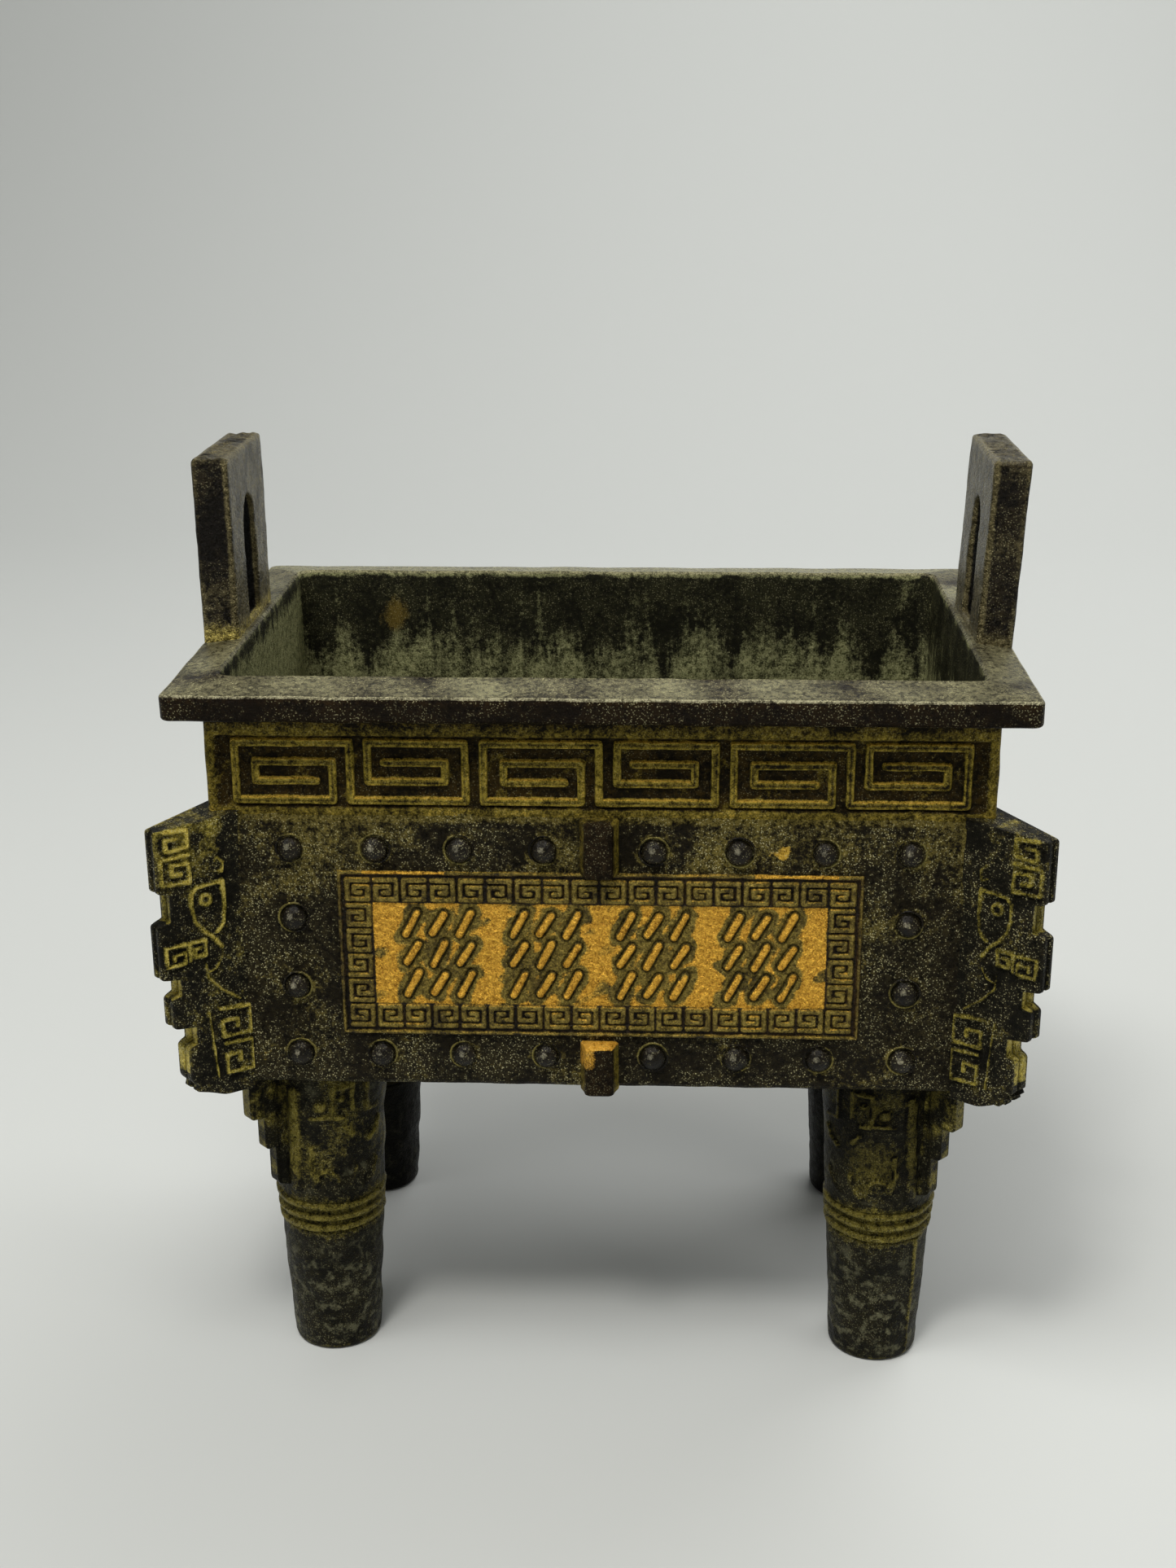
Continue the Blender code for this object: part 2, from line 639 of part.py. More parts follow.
def metal():
    """Cast copper alloy under a dark brown patina, with old gilding."""
    material = bpy.data.materials.new("patinated_gilt_copper")
    material.use_nodes = True
    shader = material.node_tree.nodes["Principled BSDF"]
    shader.inputs["Base Color"].default_value = (0.045, 0.036, 0.018, 1)
    shader.inputs["Metallic"].default_value = 0.8
    shader.inputs["Roughness"].default_value = 0.45
    return material


def combine(body, tool, operation):
    """Add a shape to the casting, or cut it away, and keep the tool as a hidden guide."""
    modifier = body.modifiers.new(tool.name, "BOOLEAN")
    modifier.operation = operation
    modifier.solver = "EXACT"
    modifier.object = tool
    tool.hide_render = True
    tool.display_type = "WIRE"


for old in list(bpy.data.objects):
    bpy.data.objects.remove(old)

all_sides = [Side(turn) for turn in (FRONT, RIGHT, BACK, LEFT)]
cauldron = vessel_shell()
cauldron.data.materials.append(metal())
combine(cauldron, legs(), "UNION")
combine(cauldron, leg_flanges(), "UNION")
combine(cauldron, fins(), "UNION")
combine(cauldron, handles(), "UNION")
combine(cauldron, side_flanges(all_sides), "UNION")
combine(cauldron, cutters(all_sides), "DIFFERENCE")
combine(cauldron, relief(all_sides), "UNION")
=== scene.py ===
"""Looks of a gilded copper cauldron: a small rectangular vessel on four round legs."""
import math

import bpy
import numpy as np
from mathutils import Matrix, Vector


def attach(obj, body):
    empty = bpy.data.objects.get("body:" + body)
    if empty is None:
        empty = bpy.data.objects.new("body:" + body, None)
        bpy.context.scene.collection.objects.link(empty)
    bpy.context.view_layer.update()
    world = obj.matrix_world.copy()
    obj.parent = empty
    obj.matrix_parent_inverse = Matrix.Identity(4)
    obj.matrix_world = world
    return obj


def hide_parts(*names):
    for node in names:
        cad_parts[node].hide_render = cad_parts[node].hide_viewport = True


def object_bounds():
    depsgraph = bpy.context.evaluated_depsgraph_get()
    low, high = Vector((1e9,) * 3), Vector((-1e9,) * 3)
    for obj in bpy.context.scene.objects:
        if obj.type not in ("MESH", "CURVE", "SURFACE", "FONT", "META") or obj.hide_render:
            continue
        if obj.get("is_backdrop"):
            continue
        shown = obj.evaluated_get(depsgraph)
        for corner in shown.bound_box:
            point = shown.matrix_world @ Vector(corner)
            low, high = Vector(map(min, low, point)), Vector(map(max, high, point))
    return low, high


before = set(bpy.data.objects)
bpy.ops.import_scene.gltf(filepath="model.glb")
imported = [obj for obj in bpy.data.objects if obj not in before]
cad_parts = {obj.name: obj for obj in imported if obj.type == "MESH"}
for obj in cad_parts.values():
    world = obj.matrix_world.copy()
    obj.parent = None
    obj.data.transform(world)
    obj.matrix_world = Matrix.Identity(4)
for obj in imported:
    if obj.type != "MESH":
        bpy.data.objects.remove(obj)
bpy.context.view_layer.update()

# The camera stands a little right of the middle and looks down on the rim.
# Its place, turn and lens are fitted to the rim, the bosses and the feet.
pitch, yaw, roll = math.radians(18.93), math.radians(2.63), math.radians(-0.30)
camera_place, focal_length, frame_tall = (0.01366, -0.38661, 0.24221), 45.79, 36
right = Vector((math.cos(yaw), math.sin(yaw), 0))
ahead = (Vector((-math.sin(yaw), math.cos(yaw), 0)) * math.cos(pitch)
         + Vector((0, 0, -math.sin(pitch))))
up = right.cross(ahead)
image_right = right * math.cos(roll) + up * math.sin(roll)
image_up = up * math.cos(roll) - right * math.sin(roll)
lens = bpy.data.cameras.new("camera")
lens.sensor_fit = "VERTICAL"
lens.sensor_height = lens.sensor_width = frame_tall
lens.lens = focal_length
lens.clip_start, lens.clip_end = 0.01, 20
camera = bpy.data.objects.new("camera", lens)
camera.matrix_world = Matrix.Translation(camera_place) @ Matrix(
    (image_right, image_up, -ahead)).transposed().to_4x4()
bpy.context.scene.collection.objects.link(camera)
bpy.context.scene.camera = camera
bpy.context.scene.view_settings.view_transform = "Standard"


# The floor is a plain sheet of pale matt paper that sweeps up behind the vessel, with no
# edge in sight. It isn't part of the cauldron.
def skin(name, rings, loop=False, tones=None, smooth_angle=50):
    """A closed mesh over rings of points, each joined to the next and closed on itself.

    The last ring joins the first, or flat faces cap both ends. The signed volume tells
    whether the faces look outwards, and they are turned round if they don't.
    """
    count, around = rings.shape[:2]
    index = np.arange(count * around).reshape(count, around)
    upper = np.roll(index, -1, axis=0) if loop else index[1:]
    lower = index if loop else index[:-1]
    quads = np.stack([lower, np.roll(lower, -1, axis=1), np.roll(upper, -1, axis=1), upper],
                     axis=-1).reshape(-1, 4)
    points = rings.reshape(-1, 3)
    a, b, c, d = (points[quads[:, i]] for i in range(4))
    volume = (np.cross(a, b) * c).sum() + (np.cross(a, c) * d).sum()
    caps = [] if loop else [index[0][::-1], index[-1]]
    if volume < 0:
        quads = quads[:, ::-1]
        caps = [cap[::-1] for cap in caps]
    mesh = bpy.data.meshes.new(name)
    corners = np.concatenate([quads.ravel()] + caps).astype(np.int32)
    sizes = np.array([4] * len(quads) + [len(cap) for cap in caps], np.int32)
    starts = np.concatenate([[0], np.cumsum(sizes)[:-1]]).astype(np.int32)
    mesh.vertices.add(len(points))
    mesh.vertices.foreach_set("co", points.astype(np.float32).ravel())
    mesh.loops.add(len(corners))
    mesh.loops.foreach_set("vertex_index", corners)
    mesh.polygons.add(len(sizes))
    mesh.polygons.foreach_set("loop_start", starts)
    mesh.polygons.foreach_set("use_smooth", np.ones(len(sizes), bool))
    mesh.update(calc_edges=True)
    mesh.set_sharp_from_angle(angle=math.radians(smooth_angle))
    if tones is not None:
        layer = mesh.attributes.new("tone", "FLOAT_VECTOR", "POINT")
        layer.data.foreach_set("vector", tones.reshape(-1, 3).astype(np.float32).ravel())
    thing = bpy.data.objects.new(name, mesh)
    bpy.context.scene.collection.objects.link(thing)
    return thing


class Socket:
    """A socket of a material's nodes. Sums and products of it add Math nodes."""

    def __init__(self, finish, socket):
        self.finish, self.socket = finish, socket

    def math(self, operation, first, second=0.0, clamp=False):
        return self.finish.node("ShaderNodeMath", {"operation": operation, "use_clamp": clamp},
                                {0: first, 1: second})

    def __add__(self, other):
        return self.math("ADD", self, other)

    def __sub__(self, other):
        return self.math("SUBTRACT", self, other)

    def __rsub__(self, other):
        return self.math("SUBTRACT", other, self)

    def __mul__(self, other):
        return self.math("MULTIPLY", self, other)

    __radd__ = __add__
    __rmul__ = __mul__

    def clipped(self):
        return self.math("ADD", self, 0.0, clamp=True)

    def above(self, level, softness):
        """0 below the level and 1 above it, with a ramp this wide between."""
        return self.math("MULTIPLY", self - (level - softness / 2), 1 / softness, clamp=True)


class Finish:
    """A material and its nodes."""

    def __init__(self, name):
        self.material = bpy.data.materials.new(name)
        self.material.use_nodes = True
        self.tree = self.material.node_tree
        self.shader = self.tree.nodes["Principled BSDF"]
        self.place = self.node("ShaderNodeTexCoord", out="Object")

    def node(self, kind, settings=None, sockets=None, out=0):
        """Make a node: its settings first, then the values or links of its sockets."""
        made = self.tree.nodes.new(kind)
        for key, value in (settings or {}).items():
            setattr(made, key, value)
        for key, value in (sockets or {}).items():
            self.feed(made.inputs[key], value)
        return Socket(self, made.outputs[out])

    def feed(self, target, value):
        """Link a socket, or set its value."""
        if isinstance(value, Socket):
            self.tree.links.new(value.socket, target)
        else:
            target.default_value = value

    def noise(self, per_metre, detail=3.0, roughness=0.55, stretch=(1, 1, 1), distortion=0.0):
        """Noise from 0 to 1 with this many cells to the metre."""
        place = self.place
        if stretch != (1, 1, 1):
            place = self.node("ShaderNodeMapping", {}, {"Vector": place, "Scale": stretch})
        return self.node("ShaderNodeTexNoise", {}, {
            "Vector": place, "Scale": per_metre, "Detail": detail, "Roughness": roughness,
            "Distortion": distortion})

    def cells(self, per_metre):
        """Distance to the nearest of scattered points, this many cells to the metre."""
        return self.node("ShaderNodeTexVoronoi", {},
                         {"Vector": self.place, "Scale": per_metre}, out="Distance")

    def tone(self):
        """The three values painted on the mesh: brass showing, gilding, dirt. Painted highlights go
        in the first two, painted shade in the dirt.
        """
        vector = self.node("ShaderNodeAttribute", {"attribute_name": "tone"}, out="Vector")
        return [self.node("ShaderNodeSeparateXYZ", {}, {0: vector}, out=i) for i in range(3)]

    def mix(self, factor, first, second):
        """A colour between two colours."""
        return self.node("ShaderNodeMix", {"data_type": "RGBA"},
                         {0: factor, 6: first, 7: second}, out=2)

    def bump(self, height, strength, distance):
        """The surface's direction, tilted by the slope of a height."""
        return self.node("ShaderNodeBump", {}, {"Height": height, "Strength": strength,
                                                "Distance": distance})

    def set(self, **values):
        """Feed the shader's own sockets, named with _ for a space."""
        for key, value in values.items():
            self.feed(self.shader.inputs[key.replace("_", " ")], value)


def paint(red, green, blue):
    """A linear colour from the 0 to 255 values that a screen shows."""
    shown = np.array([red, green, blue]) / 255
    linear = np.where(shown <= 0.04045, shown / 12.92, ((shown + 0.055) / 1.055) ** 2.4)
    return (*linear, 1.0)


across = np.linspace(-2.5, 2.5, 9)
turn_up = np.linspace(0, math.pi / 2, 24)
sweep_start, sweep_radius, sheet_thick = 0.75, 0.6, 0.02
run = np.concatenate([[-2.0, 0.0, 0.55], sweep_start + sweep_radius * np.sin(turn_up), [1.35]])
rise = np.concatenate([[0, 0, 0], sweep_radius - sweep_radius * np.cos(turn_up), [2.6]])
sheet = np.stack([np.stack([np.concatenate([across, across[::-1]]), np.full(2 * len(across), y),
                            np.repeat([z, z - sheet_thick], len(across))], axis=-1)
                  for y, z in zip(run, rise)])
sheet[:, len(across):, 1] += np.where(rise > 0.5, sheet_thick, 0)[:, None]
floor = skin("floor", sheet)
paper = Finish("pale_paper")
paper.set(Base_Color=paint(204, 207, 205), Roughness=0.85)
floor.data.materials.append(paper.material)
floor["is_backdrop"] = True


# Soft light from a window and a small lamp, high in front and a little to the left. A wide
# sheet lights the back from above, two weak cards the sides, and the world is a pale grey.
def soft_light(name, place, target, size, power, shade):
    """An oblong lamp at a place, turned towards a target."""
    lamp = bpy.data.lights.new(name, "AREA")
    lamp.shape = "RECTANGLE"
    lamp.size, lamp.size_y = size
    lamp.energy = power
    lamp.color = shade
    thing = bpy.data.objects.new(name, lamp)
    thing.location = place
    thing.rotation_euler = (Vector(target) - Vector(place)).to_track_quat("-Z", "Y").to_euler()
    bpy.context.scene.collection.objects.link(thing)


middle = (0, 0, 0.1)
soft_light("window", (-0.22, -0.36, 1.10), middle, (0.7, 0.5), 7.6, (1.0, 0.985, 0.96))
soft_light("lamp", (-0.16, -0.50, 1.00), middle, (0.16, 0.16), 3.0, (1.0, 0.97, 0.92))
soft_light("sky", (0.45, 0.75, 1.00), (0.2, 0.5, 0.2), (1.2, 0.6), 8, (1.0, 0.99, 0.975))
soft_light("left_card", (-0.95, -0.45, 0.50), middle, (0.4, 0.6), 0.9, (1, 1, 1))
soft_light("right_card", (0.9, -0.5, 0.60), middle, (0.4, 0.6), 1.2, (1.0, 0.97, 0.92))
world = bpy.data.worlds.new("pale_room")
world.use_nodes = True
glow = world.node_tree.nodes["Background"].inputs
glow["Color"].default_value = (0.83, 0.84, 0.80, 1)
glow["Strength"].default_value = 0.18
bpy.context.scene.world = world


# The neck runs round under the rim and carries the frieze, three pairs of square double
# spirals on each long side and two on each end. Cast in one with the vessel, its bands
# are smooth olive brass on a dark rough ground.
rim_length, rim_width, rim_top, rim_overhang = 0.1558, 0.1047, 0.1431, 0.0062
neck_x, neck_y = rim_length / 2 - rim_overhang, rim_width / 2 - rim_overhang
belly_low, belly_high, belly_proud = 0.0649, 0.1192, 0.0011
belly_x, belly_y = neck_x + belly_proud, neck_y + belly_proud
corner_radius = 0.0008
frieze_low, frieze_high, frieze_top = 0.1208, 0.1333, 0.1386
frieze_band, frieze_margin, frieze_gap, frieze_border = 0.0015, 0.0047, 0.0018, 0.0018


def wave(x, y, size, seed, count=7):
    """Smooth unevenness between about -1 and 1: a few sines in seeded directions."""
    draw = np.random.default_rng(seed)
    total = np.zeros(np.broadcast(x, y).shape)
    for _ in range(count):
        angle = draw.uniform(0, 2 * math.pi)
        rate = 2 * math.pi / (size * draw.uniform(0.6, 1.7))
        total += np.sin((x * math.cos(angle) + y * math.sin(angle)) * rate
                        + draw.uniform(0, 2 * math.pi))
    return total / math.sqrt(count)


def smooth(value, low, high):
    """0 below low and 1 above high, with an eased ramp between."""
    t = np.clip((value - low) / (high - low), 0, 1)
    return t * t * (3 - 2 * t)


def away(u, v, path):
    """Distance from points to a path: the least of the distances to its straight runs."""
    least = np.full(np.broadcast(u, v).shape, 1e3)
    for (ax, ay), (bx, by) in zip(path, path[1:]):
        run_x, run_y = bx - ax, by - ay
        t = np.clip(((u - ax) * run_x + (v - ay) * run_y) / (run_x ** 2 + run_y ** 2 + 1e-18), 0, 1)
        least = np.minimum(least, np.hypot(u - ax - t * run_x, v - ay - t * run_y))
    return least


def band(distance, width, soft=0.0003):
    """1 on a band this wide, 0 off it, with eased edges, from the distance to its middle."""
    return 1 - smooth(distance, width / 2 - soft / 2, width / 2 + soft / 2)


def oblong_round(half_x, half_y, radius, steps_x, steps_y, corner_steps):
    """Points round a level oblong with rounded corners, from the front's left end.

    Gives the side (0 front, 1 right, 2 back, 3 left), the place along it, x, y and the
    outward direction of each point. A corner's points are on a quarter circle. The steps
    of a side are a number of even ones, or the places themselves.
    """
    parts = []
    for side, steps in enumerate(steps_x[:1] + steps_y[:1] + steps_x[1:] + steps_y[1:]):
        half, out = (half_x, half_y) if side % 2 == 0 else (half_y, half_x)
        straight = steps if np.ndim(steps) else np.linspace(-1, 1, steps) * (half - radius)
        bend = np.arange(1, corner_steps) / corner_steps * math.pi / 2
        u = np.concatenate([straight, half - radius + radius * np.sin(bend)])
        d = np.concatenate([np.full(len(straight), out), out - radius + radius * np.cos(bend)])
        nu = np.concatenate([np.zeros(len(straight)), np.sin(bend)])
        nd = np.concatenate([np.ones(len(straight)), np.cos(bend)])
        angle = side * math.pi / 2
        c, s = math.cos(angle), math.sin(angle)
        parts.append(np.stack([np.full(len(u), side), np.clip(u, -half, half),
                               u * c + d * s, u * s - d * c, nu * c + nd * s, nu * s - nd * c]))
    return np.concatenate(parts, axis=1)


def girdle(name, around, z, lift, inset, tones):
    """A skin round the vessel: rings raised by a lift, closed by two rings inside the wall."""
    x, y, out_x, out_y = around[2:]
    rings = np.stack([x + out_x * lift, y + out_y * lift, np.broadcast_to(z, lift.shape)], axis=-1)
    inner = np.stack([np.stack([x - out_x * inset, y - out_y * inset, np.full(len(x), level)],
                               axis=-1) for level in (z[-1, 0], z[0, 0])])
    return skin(name, np.concatenate([rings, inner]), loop=True,
                tones=np.concatenate([np.stack(tones, axis=-1), np.zeros(inner.shape)]))


def dress(piece, *metals):
    """Give a piece its metals, and put it in the place of the casting."""
    for metal in metals:
        piece.data.materials.append(metal)
    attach(piece, "root")
    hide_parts("cauldron")


def patinated(name, dark, light, brass, gold, grain, speck, patchy, rough=0.40, gloss=0.08,
              leather=0.0, dust=0.0, streaks=0.0, metal=(0.12, 0.40)):
    """Cast copper alloy: dark patina, brass where it is thin, gilding, and pale dust.

    The mesh's tone says where brass and gold show, painted highlights among them, and how
    dark it is from dirt and painted shade. Noise breaks their edges, the more so the
    patchier the finish. A fine grain roughens the surface, and pale specks lie on it, which
    also serve as painted glints.
    """
    finish = Finish(name)
    showing, gilding, dirt_and_shade = finish.tone()
    coarse = finish.noise(140, 3)
    grit = finish.noise(950, 4, 0.65)
    fine = finish.noise(3300, 3, 0.6)
    patches = (coarse - 0.5) * (1.3 * patchy) + (grit - 0.5) * (1.3 * patchy)
    if streaks:
        patches = patches + (finish.noise(320, 3, 0.6, stretch=(1, 1, 0.09)) - 0.5) * streaks
    brass_mask = (showing + patches + (fine - 0.5) * (0.8 * patchy)).above(0.5, 0.40)
    gold_mask = (gilding + patches * 0.8 + (fine - 0.5) * (0.3 + 0.8 * patchy)).above(0.5, 0.36)
    shade = finish.mix((coarse * 0.5 + grit * 0.5).above(0.5, 0.16), dark, light)
    shade = finish.mix(brass_mask, shade, finish.mix((grit * 0.5 + fine * 0.5).above(0.51, 0.26),
                                                     brass[0], brass[1]))
    shade = finish.mix(gold_mask, shade, finish.mix((fine * 0.6 + grit * 0.4).above(0.5, 0.26),
                                                    gold[0], gold[1]))
    spotted = 0.25 + 0.6 * patchy
    clean = (fine * 0.45 + grit * 0.55).above(0.46, 0.12) * spotted
    clean = clean + gold_mask * 0.35 + (1 - spotted)
    shade = finish.mix(clean.clipped(), paint(7, 6, 3), shade)
    if dust:
        blotch = finish.noise(420, 4, 0.7).above(0.58, 0.14)
        blotch = blotch * (0.3 - showing).above(0.17, 0.18)
        shade = finish.mix(blotch * dust, shade, paint(136, 134, 104))
    # pale sandy specks, which also serve as painted glints
    dots = 0.36 - finish.cells(2500) + (fine - 0.5) * 0.9
    pale = dots.above(0.12, 0.14) * (coarse * 0.5 + grit * 0.5).above(0.49, 0.12)
    shade = finish.mix(pale * speck, shade, paint(204, 198, 152))
    # near black where dirt lies and where shade is painted
    grime_and_shade = (dirt_and_shade + (grit - 0.5) * (0.8 * patchy)).above(0.5, 0.6)
    shade = finish.mix(grime_and_shade, shade, paint(9, 8, 4))
    height = grit * 0.8 + fine * 0.7 + coarse * 0.3
    if leather:
        height = height + finish.noise(650, 2, 0.5, distortion=1.6) * leather
    bright = (brass_mask + gold_mask).clipped()
    finish.set(
        Base_Color=shade, Metallic=bright * metal[1] + metal[0] if metal[1] else metal[0],
        Roughness=(grit - 0.5) * 0.6 + bright * -0.06 + rough,
        Normal=finish.bump(height, grain, 0.0007), Specular_IOR_Level=gloss)
    return finish.material


olive_brass = (paint(112, 98, 32), paint(176, 156, 66))
ochre_gold = (paint(164, 124, 30), paint(234, 194, 84))


def double_spiral(cell, height, width):
    """Two linked square spirals in a cell, the second the first half-turned, top at 0."""
    columns, rows = 11.36, 3
    half = [(4, 2), (1, 2), (1, 1), (4.8, 1), (4.8, 3), (0, 3), (0, 0), (columns / 2, 0)]
    path = half + [(columns - x, rows - y) for x, y in reversed(half)]
    return [(width / 2 + x / columns * (cell - width), -width / 2 - y / rows * (height - width))
            for x, y in path]


def gathered(low, high, step, edges, spread, gap):
    """Places from low to high at an even step, with closer ones beside each edge."""
    offsets = np.arange(-spread, spread + gap / 2, gap)
    close = (np.asarray(edges)[:, None] + offsets).ravel()
    even = np.linspace(low, high, int((high - low) / step) + 1)
    near = np.abs(even[:, None] - close[None, :]).min(axis=1)
    kept = even[(near > 0.6 * gap) | (even == low) | (even == high)]
    places = np.unique(np.round(np.concatenate([kept, close]), 7))
    return places[(places >= low) & (places <= high)]


front_cell = (2 * (neck_x - frieze_margin) - 2 * frieze_gap) / 3
path = double_spiral(front_cell, frieze_high - frieze_low, frieze_band)
cell_starts = -(neck_x - frieze_margin) + np.arange(3) * (front_cell + frieze_gap)
band_edges = np.array([-frieze_band / 2, frieze_band / 2])
columns, levels = (np.unique(np.round(values, 6)) for values in zip(*path))
along_edges = (cell_starts[:, None, None] + columns[None, :, None] + band_edges).ravel()
level_edges = (frieze_high + levels[:, None] + band_edges).ravel()
front_end = neck_x - corner_radius
front_places = gathered(-front_end, front_end, 0.0008, along_edges, 0.0003, 0.00015)
around = oblong_round(neck_x, neck_y, corner_radius, [front_places, 170], [110, 110], 5)
side, u = around[:2]
z = gathered(belly_high - 0.0006, frieze_top, 0.0005, level_edges, 0.0003, 0.00012)[:, None]
raised, ground, outline, core = np.zeros((4, len(z), len(u)))
for turn in range(4):
    on = side == turn
    half, pairs = (neck_x, 3) if turn % 2 == 0 else (neck_y, 2)
    length = 2 * (half - frieze_margin)
    cell = (length - (pairs - 1) * frieze_gap) / pairs
    along = u[on] + length / 2
    number = np.clip(np.floor(along / (cell + frieze_gap)), 0, pairs - 1)
    path = double_spiral(cell, frieze_high - frieze_low, frieze_band)
    wobble = 0.00003 * wave(along, z, 0.009, turn + 3)
    distance = away(along - number * (cell + frieze_gap), z - frieze_high, path) + wobble
    raised[:, on] = band(distance, frieze_band, 0.0004) * (1 - 0.10 * smooth(
        distance, 0, frieze_band / 2)) * (0.94 + 0.06 * smooth(distance, 0.0002, 0.0004))
    # a bright line round each band's edge: a worn edge and a painted highlight
    outline[:, on] = band(np.abs(distance - frieze_band / 2 + 0.00015), 0.0003, 0.0002)
    core[:, on] = band(distance, 0.0006, 0.0005)
    sunk = np.minimum(half - frieze_border - np.abs(u[on]),
                      np.minimum(z - frieze_low + 0.0005, frieze_high + 0.0005 - z))
    ground[:, on] = smooth(sunk, -0.0001, 0.0003)
pits = 0.00008 * wave(u + side * 0.37, z, 0.0016, 11) * ground
lift = -0.00078 * ground * (1 - raised) + pits * (1 - raised) - 0.00006 * raised
lift += 0.00006 * wave(u + side * 0.21, z, 0.012, 5)
margin = 1 - ground
# painted shade: the margin loses its brass and gilding just under the rim's overhang
shade_up = smooth(z, 0.1332, 0.1385)
worn = 0.5 + 0.25 * wave(u + side, z, 0.011, 23)
# painted highlight on the upper edges of the bands and painted shade on their lower edges, from the
# bands' slope up the neck
slope = np.gradient(raised, z[:, 0], axis=0)
upper_edge_highlight = smooth(-slope, 300, 2000)
lower_edge_shade = smooth(slope, 300, 2000)
ochre = ground * (1 - raised) * 0.34 * smooth(wave(u + side, z, 0.007, 24), -0.2, 1.2)
flat_top = smooth(raised, 0.8, 0.95)
dull = 0.10 * smooth(u, -0.01, 0.05)
showing = (raised * (0.54 + 0.16 * worn - dull - 0.20 * core) + 0.42 * upper_edge_highlight
           + 0.34 * outline + ochre + margin * (0.52 - 0.30 * shade_up))
gilding = flat_top * (0.30 - 0.20 * core) * worn + 0.40 * upper_edge_highlight + 0.24 * outline
gilding = gilding + margin * 0.16 * (1 - shade_up)
gilding += 0.1 * smooth(-z, -0.1212, -0.1195)
foot = smooth(raised, 0.005, 0.1) * (1 - smooth(raised, 0.3, 0.7))
# painted shadow under the rim's overhang, deeper towards the right
under_rim_shadow = smooth(z, 0.1352, 0.1380) * (0.45 + 0.25 * smooth(u, -0.02, 0.03))
# the dark channel: the sunk ground, darker at the foot of each band, with painted shade on lower
# edges and under the rim, kept off the painted highlights
groove = ground * ((1 - raised) * 0.16 + 0.50 * foot + 0.4 * lower_edge_shade) + under_rim_shadow
groove = groove * (1 - 0.8 * upper_edge_highlight) * (1 - 0.7 * outline)
neck = girdle("neck_frieze", around, z, lift, 0.0018, [showing, gilding, groove])
dress(neck, patinated("frieze_patina", paint(24, 19, 7), paint(58, 45, 15), olive_brass,
                      ochre_gold, grain=0.8, speck=0.22, patchy=0.42))


# The belly is the box below the neck, a little wider. Its skin is granular as it came
# from the mould, with a soft ledge at the top, a faint seam near each corner, and a
# shallow bed for each panel.
boss_radius, boss_height = 0.00235, 0.0018
boss_middle = (belly_low + belly_high) / 2
boss_inset, boss_pitch, boss_rise = 0.0161, 0.01555, 0.0138
panel_tall, panel_margin = 0.0161, 0.0087
seam_inset, gilt_spot_u, gilt_spot_z = 0.0066, 0.0336, 0.1126


def boss_places(turn):
    """The bosses of a side: four rows, with the middle ones only in the end columns."""
    half, columns = (belly_x, 4) if turn % 2 == 0 else (belly_y, 2)
    outer = half - boss_inset
    places = [outer - i * boss_pitch for i in range(columns)]
    places = [-c for c in places] + places[::-1]
    rows = [boss_middle + (i - 1.5) * boss_rise for i in range(4)]
    return [(c, row) for row in rows for c in places
            if row in (rows[0], rows[-1]) or abs(c) == outer]


around = oblong_round(belly_x, belly_y, corner_radius, [270, 84], [64, 64], 4)
side, u = around[:2]
z = np.concatenate([[belly_low], np.linspace(belly_low + 0.0003, belly_high - 0.0002, 84),
                    [belly_high + 0.0001]])[:, None]
top_slope = smooth(z, belly_high - 0.0014, belly_high)
bottom_bevel = 1 - smooth(z, belly_low - 0.0002, belly_low + 0.0009)
lift = -0.0013 * top_slope - 0.0008 * bottom_bevel + 0 * u
lift += 0.00010 * wave(u + side * 0.4, z, 0.014, 31)
lift += 0.00005 * wave(u + side * 0.3, z, 0.0022, 37)
half_along = np.where(side % 2 == 0, belly_x, belly_y)
panel_edge = half_along - boss_inset - panel_margin
bed_edge = 0.0006
inside = np.minimum(panel_edge - bed_edge - np.abs(u),
                    panel_tall - bed_edge - np.abs(z - boss_middle))
lift -= 0.0005 * smooth(inside, 0, bed_edge)
seam = band(np.abs(np.abs(u) - (half_along - seam_inset)), 0.0011, 0.0006)
lift += 0.00022 * seam * smooth(z, 0.078, 0.086)
near_boss = np.full(lift.shape, 1.0)
for turn in range(4):
    on = side == turn
    for place, row in boss_places(turn):
        near_boss[:, on] = np.minimum(near_boss[:, on], np.hypot(u[on] - place, z - row))
upper = smooth(z, 0.098, 0.118)
showing = 0.16 + 0.26 * upper + 0.16 * wave(u + side, z, 0.02, 41)
ringed = 0.5 + 0.5 * wave(u + side, z, 0.005, 43)
showing = showing + 0.34 * (1 - smooth(near_boss, 0.0028, 0.0042)) * ringed + 0.36 * seam * upper
showing = showing + 0.45 * smooth(z, belly_high - 0.0016, belly_high - 0.0004)
gilding = 0.14 * (1 - smooth(near_boss, 0.0026, 0.0036)) + 0.18 * seam * upper
gilt_spot = np.hypot((u - gilt_spot_u) * 0.5, z - gilt_spot_z) + 0.0003 * wave(u, z, 0.003, 42)
gilding = gilding + 0.95 * (side == 0) * (1 - smooth(gilt_spot, 0.0007, 0.0014))
near_panel = smooth(inside, -0.0014, -0.0002) * (inside < 0.0004)
near_fin = smooth(np.abs(u), half_along - 0.0050, half_along - 0.0030)
near_flange = smooth(0.0046 - np.abs(u), 0, 0.0008) * smooth(z, 0.104, 0.107)
